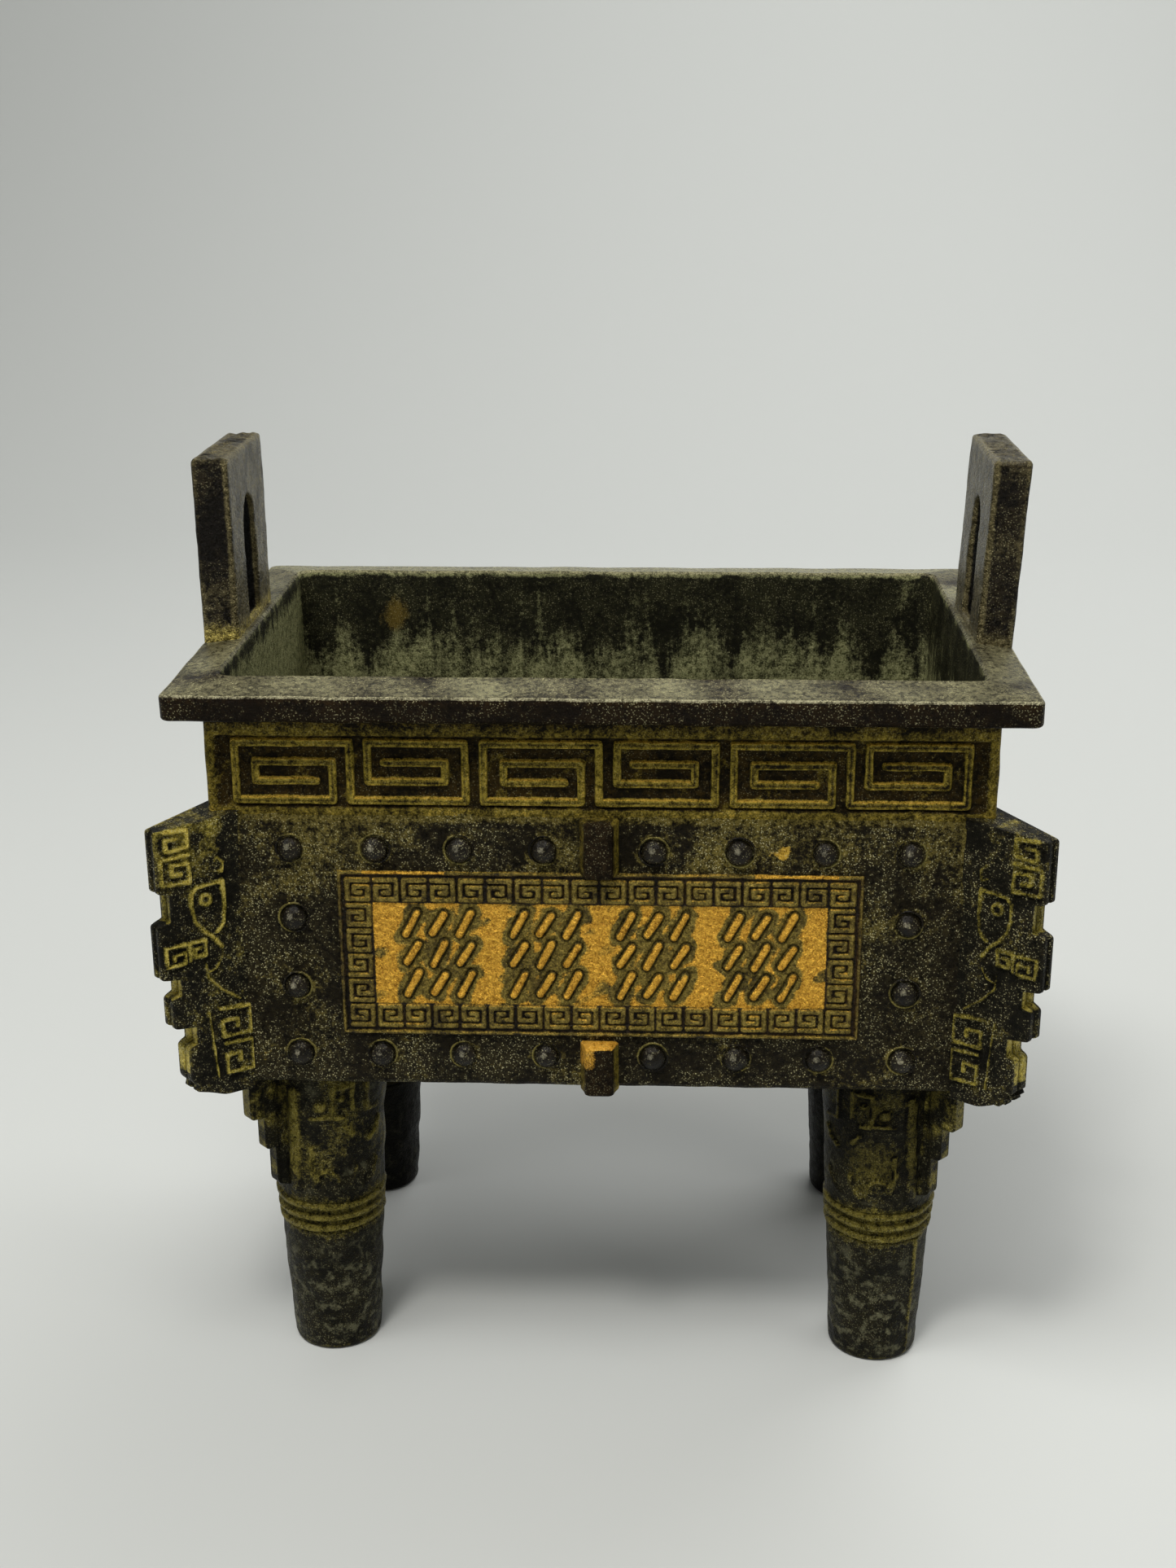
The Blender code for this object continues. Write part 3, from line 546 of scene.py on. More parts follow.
# painted shade: dark round each panel, beside the fins, round each boss and beside the upper
# flanges, where the parts meet
dirt_and_shade = 0.5 * near_panel + 0.30 * near_fin
dirt_and_shade = dirt_and_shade + 0.5 * (1 - smooth(near_boss, 0.0026, 0.0029))
dirt_and_shade = dirt_and_shade + 0.55 * near_flange
belly = girdle("belly", around, z, lift, 0.0024, [showing, gilding, dirt_and_shade])
dress(belly, patinated("belly_patina", paint(29, 24, 12), paint(54, 48, 28),
                       (paint(86, 77, 36), paint(138, 125, 66)), ochre_gold, grain=1.2, speck=1.0,
                       rough=0.36, patchy=0.8, gloss=0.09))


# The bosses are low round domes, cast dark and smooth, with brass bared in a thin ring
# round the foot of each, painted shade at the foot, and a grey highlight painted near the
# top, moved towards the light.
def on_side(turn, u, z, height):
    """Points u along a side's belly, at z and this high above it, as arrays."""
    out = (belly_y if turn % 2 == 0 else belly_x) + height
    angle = turn * math.pi / 2
    c, s = math.cos(angle), math.sin(angle)
    return np.stack([u * c + out * s, u * s - out * c, z + 0 * u], axis=-1)


def join(name, things):
    """Make one object of several meshes of the same kind."""
    for thing in bpy.context.selected_objects:
        thing.select_set(False)
    for thing in things:
        thing.select_set(True)
    bpy.context.view_layer.objects.active = things[0]
    bpy.ops.object.join()
    things[0].name = name
    things[0].data.name = name
    return things[0]


bosses = []
turns = np.linspace(0, 2 * math.pi, 24, endpoint=False)
dome = np.linspace(0.03, 1, 9)[:, None]
foot_out = np.array([1.03, 1.10, 1.22, 1.32, 1.3])[:, None]
foot_high = np.array([-0.0001, 0.0001, 0.00012, -0.0002, -0.0008])[:, None]
out = np.concatenate([np.sin(dome * math.pi / 2), foot_out])
high = np.concatenate([boss_height * np.cos(dome * math.pi / 2) ** 0.9, foot_high])
ring_brass = np.array([0.0] * 9 + [0.2, 0.7, 0.95, 0.8, 0.5])[:, None]
# painted shade on the lower dome and round its foot
ring_shade = np.array([0.1] * 6 + [0.3, 0.5, 0.8, 0.9, 0.3, 0, 0, 0])[:, None]
for turn in range(4):
    # a grey highlight painted near the top of each dome, moved towards the light
    highlight_place = -0.2 if turn % 2 == 0 else 0.2
    for number, (place, row) in enumerate(boss_places(turn)):
        draw = np.random.default_rng(100 * turn + number)
        wide, tall = draw.uniform(0.95, 1.04) * boss_radius, draw.uniform(0.9, 1.05)
        part_way = 0.15 + 0.85 * (0.5 + 0.5 * np.sin(turns + draw.uniform(0, 6)))
        beside, above = out * np.cos(turns), out * np.sin(turns)
        soft_patch = 1 - smooth(np.hypot(beside - highlight_place, above - 0.3), 0.1, 0.5)
        bosses.append(skin(
            "boss", on_side(turn, place + wide * beside, row + wide * above, tall * high),
            tones=np.stack([ring_brass * part_way, 0.62 * soft_patch, ring_shade + 0 * turns], axis=-1)))
bosses = join("bosses", bosses)
dress(bosses, patinated("boss_patina", paint(18, 14, 7), paint(36, 30, 18),
                        (paint(104, 96, 50), paint(150, 138, 76)),
                        (paint(104, 100, 84), paint(164, 158, 136)), grain=0.4, speck=0.4,
                        rough=0.22, gloss=0.2, patchy=0.4))


# The panels fill the middle of the sides: a raised line, a border of small square keys,
# and a field. The front's field is gilded and carries rows of shallow strokes, with
# smooth halos round them; the other sides keep a plain gilded field.
def key_path():
    """A square spiral in a unit cell, from its lower right corner inwards."""
    return [(1, 1), (0, 1), (0, 0), (0.98, 0), (0.98, 0.66), (0.34, 0.66), (0.34, 0.34),
            (0.62, 0.34)]


def panel(name, turn, step, strokes):
    """A panel's slab: its face is a height over a grid, and its back is inside the wall.

    The height adds bands along the edge, along the spiral of each key and along each
    stroke, all from the distance to a line.
    """
    half, tall = (belly_x if turn % 2 == 0 else belly_y) - boss_inset - panel_margin, panel_tall
    border_line, border_gap = 0.0007, 0.0008
    reach_u, reach_z = half + border_line, tall + border_line
    u = np.linspace(-reach_u, reach_u, int(2 * reach_u / step))[None, :]
    v = np.linspace(-reach_z, reach_z, int(2 * reach_z / step))[:, None]
    wobble = 0.00006 * wave(u, v, 0.006, turn + 51)
    edge = np.maximum(np.abs(u) - half, np.abs(v) - tall)
    frame_line = band(np.abs(edge) + wobble, 0.0006, 0.0003)
    columns, rows = 18 if turn % 2 == 0 else 8, 6
    inner_u, inner_v = half - border_gap, tall - border_gap
    cell_u, cell_v = 2 * inner_u / columns, 2 * inner_v / rows
    column = np.clip(np.floor((u + inner_u) / cell_u), 0, columns - 1)
    row = np.clip(np.floor((inner_v - v) / cell_v), 0, rows - 1)
    in_border = (column == 0) | (column == columns - 1) | (row == 0) | (row == rows - 1)
    in_border = in_border & (edge < -border_line)
    a = (u + inner_u) / cell_u - column
    b = (inner_v - v) / cell_v - row
    mirrored = (column + row) % 2 == 1
    a = np.where(mirrored, 1 - a, a)
    b = np.where(row >= rows / 2, b, 1 - b)
    fitted = [(0.13 + 0.74 * p, 0.13 + 0.74 * q) for p, q in key_path()]
    key = band(away(a, b, fitted) * cell_v + wobble * 0.5, 0.00092, 0.00032) * in_border
    field_u, field_v = inner_u - cell_u, inner_v - cell_v
    in_field = smooth(np.minimum(field_u - np.abs(u), field_v - np.abs(v)), -0.0002, 0.0003)
    stroke = np.zeros(key.shape)
    distance = np.full(key.shape, 1.0)
    if strokes:
        lean, group = 0.0011, (field_u - 0.0022) / 2
        row_height = 2 * (field_v - lean) / 3
        for number in range(4 * 3 * 3):
            block, line, place = number // 9, number // 3 % 3, number % 3
            middle_v = field_v - lean - (line + 0.5) * row_height
            centre = -2 * group + block * group + (place + 1) * group / 4
            long = row_height * (0.36, 0.30)[(place + line) % 2]
            distance = np.minimum(distance, away(
                u, v, [(centre - lean, middle_v - long), (centre + lean, middle_v + long)]))
        distance = distance + wobble
        stroke = band(distance, 0.0013, 0.0007)
    lift = 0.00010 + 0.00046 * np.maximum(frame_line, key * 0.95) + 0.00058 * stroke
    lift -= 0.00026 * band(np.abs(distance - 0.00092), 0.0004, 0.0003) * in_field
    lift += 0.00005 * wave(u, v, 0.0010, turn + 61) * in_field
    lift += 0.00004 * wave(u, v, 0.005, turn + 71)
    rim_drop = smooth(edge, 0.0003, 0.0006)
    lift = lift * (1 - rim_drop) - 0.0008 * rim_drop
    halo = 1 - smooth(distance + 0.0004 * wave(u, v, 0.004, turn + 75), 0.0015, 0.0028)
    worn = wave(u, v, 0.009, turn + 81)
    # gilding rubbed off in soft patches, more of it on the plain fields
    soft_patch = smooth(wave(u, v, 0.006, turn + 77), 0.4, 1.3) * 0.5 + (0 if strokes else 0.26)
    crest = smooth(stroke, 0.7, 1.0)
    gilding = in_field * (0.92 + 0.12 * worn - soft_patch - 0.76 * halo * (1 - stroke)) + 0.25 * crest
    top_line = smooth(v, 0.3 * tall, tall) * (np.abs(np.abs(u) - 0.75 * half) < 0.16 * half)
    gilding += frame_line * (0.05 + 0.55 * top_line) + key * (0.08 + 0.2 * smooth(worn, 0.2, 1.2))
    # painted highlight on the upper edges of the keys and the frame line, and painted shade on
    # their lower edges
    slope = np.gradient(np.maximum(key, frame_line), v[:, 0], axis=0)
    key_top_highlight = smooth(-slope, 500, 2500)
    gilding += 0.34 * key_top_highlight
    showing = 0.16 + 0.50 * key + 0.3 * key_top_highlight + 0.5 * in_field + 0.36 * frame_line + 0.08 * worn
    # dark in the grooves of the key border, with painted shade on the lower edges of the keys
    dirt_and_shade = (0.50 * (1 - smooth(key, 0.1, 0.6)) + 0.2 * smooth(slope, 500, 2500)) * in_border
    dirt_and_shade = dirt_and_shade + 0.62 * band(np.abs(distance - 0.00088), 0.0005, 0.0002) * in_field
    dirt_and_shade = dirt_and_shade + 0.5 * band(np.abs(edge + 0.00062), 0.0003, 0.0002)
    face = on_side(turn, u, boss_middle + v, lift)
    back = np.stack([on_side(turn, np.full(len(v), s * reach_u), boss_middle + v[:, 0], -0.0022)
                     for s in (1, -1)], axis=1)
    tones = np.stack([showing, gilding, dirt_and_shade], axis=-1)
    return skin(name, np.concatenate([face, back], axis=1),
                tones=np.concatenate([tones, np.zeros(back.shape)], axis=1))


panel_metal = patinated("panel_gilding", paint(26, 18, 6), paint(64, 44, 12),
                        (paint(100, 84, 32), paint(152, 134, 64)),
                        (paint(150, 100, 20), paint(255, 200, 76)), grain=0.8, speck=0.05,
                        rough=0.30, gloss=0.2, patchy=0.38)
for turn, (name, step) in enumerate((("front_panel", 0.00019), ("right_panel", 0.00039),
                                     ("back_panel", 0.00041), ("left_panel", 0.00039))):
    dress(panel(name, turn, step, strokes=turn == 0), panel_metal)


# The short flanges stand above and below each panel: plain upright bars, dark on the
# face, with brass on their sides and a gilt top edge on the lower ones.
def rounded_edge(distance, radius):
    """How far a surface falls this near its edge, where the edge is a quarter circle."""
    short = radius - np.minimum(distance, radius)
    return radius - np.sqrt(np.clip(radius ** 2 - short ** 2, 0, None))


def flange_bar(turn, low, high, gilt_top):
    """An upright bar on a side: a rounded section carried up, drawn in at both ends."""
    z = np.linspace(low, high, 26)[:, None]
    drawn = rounded_edge(np.minimum(z - low, high - z), 0.0005)
    half = np.array([(0.0037, -0.0014), (0.0036, 0.0), (0.0030, 0.0014), (0.00262, 0.0027),
                     (0.0023, 0.0030), (0.0012, 0.00304)])
    sideways = np.concatenate([-half[:, 0], [0], half[::-1, 0]])
    height = np.concatenate([half[:, 1], [0.00302], half[::-1, 1]])
    rings = on_side(turn, np.sign(sideways) * np.maximum(np.abs(sideways) - drawn, 0), z,
                    height - drawn * (height > 0.0005))
    brass = 0 * z + [0.3, 0.4, 0.4, 0.25, 0.12, 0.05, 0.05, 0.05, 0.12, 0.3, 0.6, 0.7, 0.6]
    gilt = 0 * z + [0.0, 0.1, 0.1, 0, 0, 0, 0, 0, 0, 0.1, 0.2, 0.2, 0.1]
    if gilt_top:
        gilt += 1.1 * smooth(z, high - 0.0007, high - 0.0002)
        gilt += 0.56 * smooth(z, high - 0.0060, high - 0.0036) * (sideways < 0)
    return skin("bar", rings, tones=np.stack([brass, gilt, 0 * gilt], axis=-1))


upper_bar, lower_bar = (belly_high - 0.0111, belly_high - 0.0003), (0.0642, 0.0746)
bars = join("side_flanges", [flange_bar(turn, *ends, gilt_top=ends is lower_bar)
                             for turn in range(4) for ends in (upper_bar, lower_bar)])
dress(bars, patinated("flange_patina", paint(24, 17, 8), paint(44, 34, 19), olive_brass,
                      (paint(176, 118, 24), paint(244, 190, 80)), grain=0.7, speck=0.3,
                      patchy=0.4, gloss=0.05))


# The rim is a broad sloping lip, and the vessel is cast hollow below it. The top of the
# lip is rubbed to a grey sheen, with a worn edge painted as a highlight, and the cavity is
# dull, with streaks down its walls and painted light and shade on them.
lip_thick, lip_reach, lip_slope, lip_wider = 0.0049, 0.0083, 0.0011, 0.00165


def basin_profile():
    """The section as reach out from the opening's edge, height and corner radius.

    It runs up inside the neck to the lip, round the lip's outer edge, up its slope, over
    the opening's edge and down the wall to the cavity's floor.
    """
    low, high = rim_top - lip_thick, rim_top
    low_bend, top_bend, floor_bend = 0.0007, 0.0006, 0.003
    section = [(0.0012, belly_low, 0.002), (0.0020, belly_low + 0.0006, 0.002),
               (0.0018, low + 0.0002, 0.002), (0.0021, low, 0.001), (0.0050, low, 0.0012)]
    section += [(lip_reach - low_bend * (1 - math.sin(t)), low + low_bend * (1 - math.cos(t)),
                 0.0015) for t in np.linspace(0, math.pi / 2, 6)]
    section += [(lip_reach, low + low_bend + k * (lip_thick - 2 * low_bend), 0.0015)
                for k in (0.25, 0.5, 0.75)]
    section += [(lip_reach - top_bend * (1 - math.cos(t)), high - top_bend * (1 - math.sin(t)),
                 0.0015) for t in np.linspace(0, math.pi / 2 * 0.93, 6)]
    section += [((lip_reach - top_bend) * (1 - k), high + lip_slope * k, 0.0015 + 0.0015 * k)
                for k in np.linspace(0.1, 0.93, 10)]
    section += [(0.0003 - drop, high + lip_slope - drop, 0.003)
                for drop in 0.0006 * (1 - np.cos(np.linspace(0, math.pi / 2 * 0.9, 5)))]
    floor_level, wall_foot = belly_low + 0.004, -0.0019
    section += [(-0.00035 - 0.0016 * (high - level) / (high - floor_level), level, 0.003)
                for level in np.linspace(high - 0.0005, floor_level + floor_bend, 34)]
    section += [(wall_foot - floor_bend * (1 - math.cos(t)),
                 floor_level + floor_bend * (1 - math.sin(t)), 0.003)
                for t in np.linspace(0.2, math.pi / 2, 6)]
    section += [(wall_foot - floor_bend - k, floor_level, 0.003) for k in (0.008, 0.018, 0.0285)]
    return section


open_x, open_y = neck_x - 0.0021, neck_y - 0.00375
section = basin_profile()
rings, tones = [], []
for reach, level, radius in section:
    # the lip is a little wider on the long sides, where the walls are thicker
    wide_y = open_y + reach + lip_wider * min(max(reach / lip_reach, 0), 1)
    side, u, x, y, out_x, out_y = oblong_round(
        open_x + reach, wide_y, radius, [112, 96], [66, 66], 5)
    bumpy = 0.00006 * wave(u + side * 0.3, level + reach * 2, 0.013, 91)
    sag = 0.00005 * wave(u + side * 0.5, level + reach, 0.02, 92)
    rings.append(np.stack([x + out_x * bumpy, y + out_y * bumpy, level + sag], axis=-1))
    inside_wall = smooth(-reach, 0.0001, 0.0006)
    worn = wave(u + side, level + reach, 0.018, 93)
    on_top = smooth(level, rim_top - 0.0004, rim_top + 0.0001)
    # a bright line along the lip's edge: a worn edge and a painted highlight
    front_edge_wear_and_highlight = band(abs(reach - 0.0081), 0.0005, 0.0002) * (level > rim_top - 0.0005)
    lip = on_top * (0.50 + 0.10 * worn + 0.3 * (side == 2)) + 0.3 * front_edge_wear_and_highlight
    # the lip's outer face is darker
    face_darkening = 0.44 * smooth(rim_top - level, 0.0009, 0.0013) * (reach > 0.0005)
    # painted light and shade on the cavity's walls: the left wall lighter, each wall dark at the
    # top in the shade of the lip and lighter lower down where light falls in, then darker at its
    # foot
    depth = (rim_top - level) / (rim_top - belly_low)
    left_wall_light = 0.9 * (side == 3) * smooth(depth, -0.02, 0.06)
    wall = 0.12 + 0.46 * smooth(depth, 0.08, 0.30) + left_wall_light + 0.06 * worn
    wall = wall * (1 - 0.6 * smooth(depth, 0.86, 0.95))
    spot = np.hypot(x + 0.0492, level - 0.1345) + 0.0006 * wave(x, level, 0.004, 94)
    brown = 0.72 * (side == 2) * inside_wall * (1 - smooth(spot, 0.0010, 0.0060))
    showing = lip * (1 - inside_wall) + wall * inside_wall
    tones.append(np.stack([showing, brown + 0.5 * front_edge_wear_and_highlight, face_darkening + 0 * u], axis=-1))
basin = skin("rim_and_cavity", np.stack(rings), tones=np.stack(tones), smooth_angle=40)
rim_metal = patinated("rim_patina", paint(24, 15, 5), paint(46, 33, 14),
                      (paint(110, 107, 79), paint(160, 155, 117)),
                      (paint(150, 144, 112), paint(204, 198, 164)), grain=0.9, speck=0.7,
                      rough=0.34, gloss=0.07, patchy=0.34)
cavity_metal = patinated("cavity_patina", paint(24, 24, 14), paint(44, 44, 27),
                         (paint(92, 94, 58), paint(156, 156, 112)),
                         (paint(82, 68, 26), paint(106, 90, 40)), grain=0.7, speck=0.25,
                         rough=0.6, streaks=1.3, patchy=0.5, metal=(0.0, 0.0))
dress(basin, rim_metal, cavity_metal)
# the second metal starts at the opening's edge, and is on the cap of the cavity's floor
in_cavity = np.repeat([reach <= -0.0001 for reach, level, radius in section[:-1]], len(u))
basin.data.polygons.foreach_set("material_index",
                                np.concatenate([in_cavity, [0, 1]]).astype(np.int32))


# The corner fins are toothed wedges on the diagonals, thick at the root. Each face has
# the low relief of a mask: an eye in a pointed frame, a jaw, and square spirals.
def rounded_path(points, radii, steps=5):
    """A path whose inner corners are bends, each from and to this far off its corner."""
    path = [np.array(points[0])]
    for before, here, after, radius in zip(points, points[1:], points[2:], radii):
        before, here, after = map(np.array, (before, here, after))
        back, on = before - here, after - here
        back_long, on_long = np.hypot(*back), np.hypot(*on)
        cut = min(radius, 0.45 * back_long, 0.45 * on_long)
        start, end = here + back / back_long * cut, here + on / on_long * cut
        for t in np.linspace(0, 1, steps):
            path.append((1 - t) ** 2 * start + 2 * t * (1 - t) * here + t * t * end)
    return np.array(path + [np.array(points[-1])])


def even_points(path, step):
    """The path with points no further apart than a step, and its corners kept."""
    made = [path[:1]]
    for a, b in zip(path, path[1:]):
        count = max(1, int(math.ceil(np.hypot(*(b - a)) / step)))
        made.append(a + (b - a) * (np.arange(1, count + 1) / count)[:, None])
    return np.concatenate(made)


def plate(name, outline, root, thick, corner, place, relief, step, counts, groove=0.0):
    """A wedge-shaped plate with a worked outline, closed all round.

    Each ring runs out from the root over one face, across the edge and back over the
    other. Its outer end follows the outline and its inner end moves down the root.
    thick(reach) is half the thickness; near the outline it falls off as a quarter circle.
    relief(reach, z, face) is the height above a face, with the tones there. The counts
    are the points over a face, across the edge and over the other face. A groove this
    deep runs along the middle of the edge, and it is painted dark.
    """
    edge = even_points(outline, step)
    moves = np.abs(np.diff(edge, axis=0))
    travel = np.concatenate([[0], np.cumsum(moves[:, 1] + 0.12 * moves[:, 0])])
    inner_z = edge[0, 1] + (edge[-1, 1] - edge[0, 1]) * travel / travel[-1]
    inner = np.stack([np.full(len(edge), root), inner_z], axis=-1)
    loops, shades = [], []
    for face, count in ((1, counts[0]), (-1, counts[2])):
        k = np.linspace(0, 1, count)[:, None] ** 0.92
        points = inner[:, None] + (edge - inner)[:, None] * k
        reach, z = points[..., 0], points[..., 1]
        rim = away(reach, z, outline)
        rim[:, -1] = 0
        height, tone = relief(reach, z, face)
        half = thick(reach) - rounded_edge(rim, corner) + height * smooth(rim, 0.0001, 0.0006)
        loops.append(place(reach, z, face * half))
        shades.append(tone)
    reach, z = (np.repeat(values[:, None], counts[1], axis=1) for values in edge.T)
    offset = (thick(reach) - corner) * np.linspace(1, -1, counts[1] + 2)[1:-1]
    in_groove = (1 - smooth(np.abs(offset), 0.0003, 0.0006)) * smooth(reach, -0.001, 0)
    across = place(reach - groove * in_groove, z, offset)
    tone = relief(reach, z, 0)[1]
    if groove:
        # the groove is painted dark
        tone[..., 2] += 0.6 * in_groove
    rings = np.concatenate([loops[0], across, loops[1][:, ::-1]], axis=1)
    tones = np.concatenate([shades[0], tone, shades[1][:, ::-1]], axis=1)
    return skin(name, rings[1:-1], tones=tones[1:-1], smooth_angle=45)


def diagonal(sx, sy, x, y):
    """Places in the upright diagonal plane of a corner, by reach, height and offset."""
    def place(reach, z, offset):
        d = math.sqrt(0.5)
        return np.stack(np.broadcast_arrays(
            sx * x + (sx * reach - sx * offset) * d, sy * y + (sy * reach + sy * offset) * d, z),
            axis=-1)
    return place


fin_root, fin_reach, root_thick, edge_thick = -0.0032, 0.0126, 0.0096, 0.0034
fin_top, fin_bottom = belly_high + 0.0005, belly_low - 0.0013


def fin_outline(chips=()):
    """The fin's toothed edge by reach and height, from the top of its root downwards.

    The chips are points of a ragged break at its lower corner.
    """
    tall = fin_top - fin_bottom
    points, radii = [(fin_root - 0.0010, fin_top)], []
    # a tooth's step outwards, its start and end down the fin, the depth of the notch below
    # it, and the start of the next tooth
    teeth = ((0.0, 0.0, 0.242, 0.0023, 0.340), (0.0004, 0.340, 0.545, 0.0033, 0.606),
             (-0.0013, 0.606, 0.727, 0.0056, 0.793))
    for step, start, end, notch, following in teeth:
        edge, floor_reach = fin_reach + step, fin_reach - notch
        fall = 0.0012 if start == 0 else 0.0005
        points += [(edge, fin_top - start * tall - fall), (edge, fin_top - end * tall + 0.0005),
                   (floor_reach, fin_top - end * tall), (floor_reach, fin_top - following * tall)]
        radii += [0.0006, 0.0007, 0.0003, 0.0003]
    last = fin_reach - 0.0038
    points += [(last, fin_top - 0.793 * tall - 0.0005), (last, fin_bottom + 0.0045)]
    points += [(last - inward, fin_bottom + height) for inward, height in chips]
    points += [(last - 0.0036, fin_bottom + 0.0012), (last - 0.0063, fin_bottom),
               (fin_root - 0.0010, fin_bottom)]
    radii += [0.0006, 0.0015] + [0.0002] * len(chips) + [0.002, 0.001]
    return rounded_path(points, radii)


marks_start = 0.9
faint_marks = (6, 7, 8, 11)


def hook(*millimetres):
    """A path in metres from reach and height in millimetres.

    The heights of all marks, also the legs', are counted from marks_start, the level
    this many millimetres above the ground.
    """
    return [(a / 1000, (b + marks_start) / 1000) for a, b in millimetres]


fin_marks = [
    hook((10.7, 117.4), (6.5, 117.2), (6.5, 113.9), (10.7, 113.7), (10.7, 116.0), (8.5, 115.8)),
    hook((6.5, 112.4), (11.8, 112.3), (11.7, 107.4), (6.6, 107.2), (6.7, 110.8), (9.9, 110.9),
         (9.8, 109.0), (8.2, 109.0)),
    hook((8.3, 95.1), (11.9, 95.0), (11.9, 91.3), (8.4, 91.5), (8.4, 93.4), (10.5, 93.3),
         (10.5, 92.5)),
    hook((7.5, 91.7), (7.5, 95.1), (4.5, 95.2), (4.5, 92.3), (6.6, 92.2), (6.6, 93.8), (5.5, 93.9)),
    hook((0.6, 106.1), (5.6, 105.7), (6.6, 104.5), (6.6, 101.5), (6.1, 99.2), (4.8, 97.2),
         (3.1, 95.7), (1.5, 93.3)),
    hook((0.6, 106.1), (0.4, 102.4), (0.8, 98.0), (2.2, 96.4)),
    hook((2.0, 109.7), (1.3, 111.0), (0.2, 109.7), (0.5, 107.9), (1.7, 108.4)),
    hook((4.6, 90.2), (4.4, 87.5), (2.0, 84.7), (-1.5, 81.9)),
    hook((1.6, 91.0), (2.8, 89.1), (4.5, 88.6)),
    hook((2.5, 80.7), (-3.3, 80.2), (-3.2, 74.8), (2.2, 75.0), (2.3, 78.2), (-0.6, 78.0),
         (-0.6, 76.6)),
    hook((1.9, 73.4), (-3.4, 73.2), (-3.2, 67.2), (1.9, 67.4), (1.9, 71.0), (-0.8, 71.0),
         (-0.7, 69.4)),
    hook((4.7, 80.4), (3.8, 66.9))]


def fin_relief(wear):
    """The raised marks of a fin's faces, alike on both faces and brighter the more worn the fin."""
    def relief(reach, z, face):
        zero = np.zeros(np.shape(reach))
        if face == 0:
            worn = wave(reach * 3, z, 0.006, 7)
            notch = smooth(fin_reach - 0.0012 - reach, 0, 0.0006) * (z > fin_bottom + 0.006)
            notch = notch * (1 - 0.8 * smooth(z, fin_top - 0.003, fin_top - 0.001))
            return zero, np.stack([zero + 0.22 + 0.5 * notch + 0.12 * worn,
                                   0.5 * notch * (0.6 + 0.4 * worn), zero], axis=-1)
        distance = np.full(np.shape(reach), 1.0)
        for number, path in enumerate(fin_marks):
            thinner = 0.00022 if number in faint_marks else 0.0
            distance = np.minimum(distance, away(reach, z, path) + thinner)
        eye = np.hypot(reach - 0.0039, z - 0.1040)
        distance = np.minimum(distance, np.abs(eye - 0.00095))
        distance = distance + 0.00008 * wave(reach, z, 0.004, 17)
        raised = band(distance, 0.00072, 0.0003)
        pupil = 1 - smooth(eye, 0.0001, 0.0005)
        height = 0.00042 * raised + 0.0004 * pupil + 0.00007 * wave(reach, z, 0.009, 19)
        height = height - 0.00012 * band(np.abs(distance - 0.0008), 0.0005, 0.0004)
        ridge = band(np.abs(reach + 0.0008), 0.0012, 0.0006)
        strong = 1.1 if wear == 1 else 0.66
        top = smooth(z, 0.1085, 0.1175) * smooth(reach, -0.001, 0.002)
        yellow = top * (0.5 + 0.5 * wave(reach * 1.5, z, 0.006, 29)) * wear
        worn = 0.5 + 0.5 * wave(reach, z, 0.01, 27)
        showing = 0.20 + 0.06 * wear + raised * (0.50 + 0.15 * worn) * strong + 0.45 * yellow
        showing = showing + 0.2 * ridge * raised
        gilding = raised * 0.44 * (0.5 + worn) * strong * wear + 0.34 * yellow
        return height, np.stack([showing, gilding, zero], axis=-1)
    return relief


def fin_thick(reach):
    """Half the wedge's thickness, shrinking evenly outwards."""
    part_way = (reach - fin_root) / (fin_reach - fin_root)
    return (root_thick + (edge_thick - root_thick) * part_way) / 2


yellow_brass = (paint(126, 114, 38), paint(190, 174, 82))
yellow_gold = (paint(180, 156, 50), paint(232, 214, 116))
fin_metal = patinated("fin_patina", paint(22, 21, 14), paint(44, 40, 27), yellow_brass, yellow_gold,
                      grain=1.2, speck=0.9, patchy=0.5)
fin_chips = [(0.0008, 0.0040), (0.0001, 0.0034), (0.0014, 0.0030), (0.0010, 0.0020),
             (0.0024, 0.0022), (0.0022, 0.0013), (0.0031, 0.0017)]
corner_names = {(-1, -1): "front_left", (1, -1): "front_right", (1, 1): "back_right",
                (-1, 1): "back_left"}
for (sx, sy), name in corner_names.items():
    front = sy < 0
    chips = fin_chips if front and sx > 0 else fin_chips[2:4] if front else ()
    wear = 1.0 if front and sx < 0 else 0.3
    step, counts = (0.00036, (58, 7, 22)) if front else (0.0005, (26, 7, 20))
    dress(plate(name + "_fin", fin_outline(chips), fin_root, fin_thick, 0.00038,
                diagonal(sx, sy, neck_x, neck_y), fin_relief(wear), step, counts, groove=0.0004),
          fin_metal)


# The legs are round tapered posts cast under the corners, with three thin rings below a
# worn mask. Dust lies on their lower parts, and brass shows at the rings.
leg_x, leg_y = neck_x - 0.01635, neck_y - 0.01505
ring_levels, ring_middle, rings_low, rings_high = (0.0292, 0.0316, 0.0341), 0.0316, 0.0276, 0.0358
foot_radius, head_radius, unrolled = 0.0088, 0.0122, 0.0112


def leg_radius(z):
    """The post's radius, which grows evenly from the foot up."""
    return foot_radius + (head_radius - foot_radius) * z / belly_low


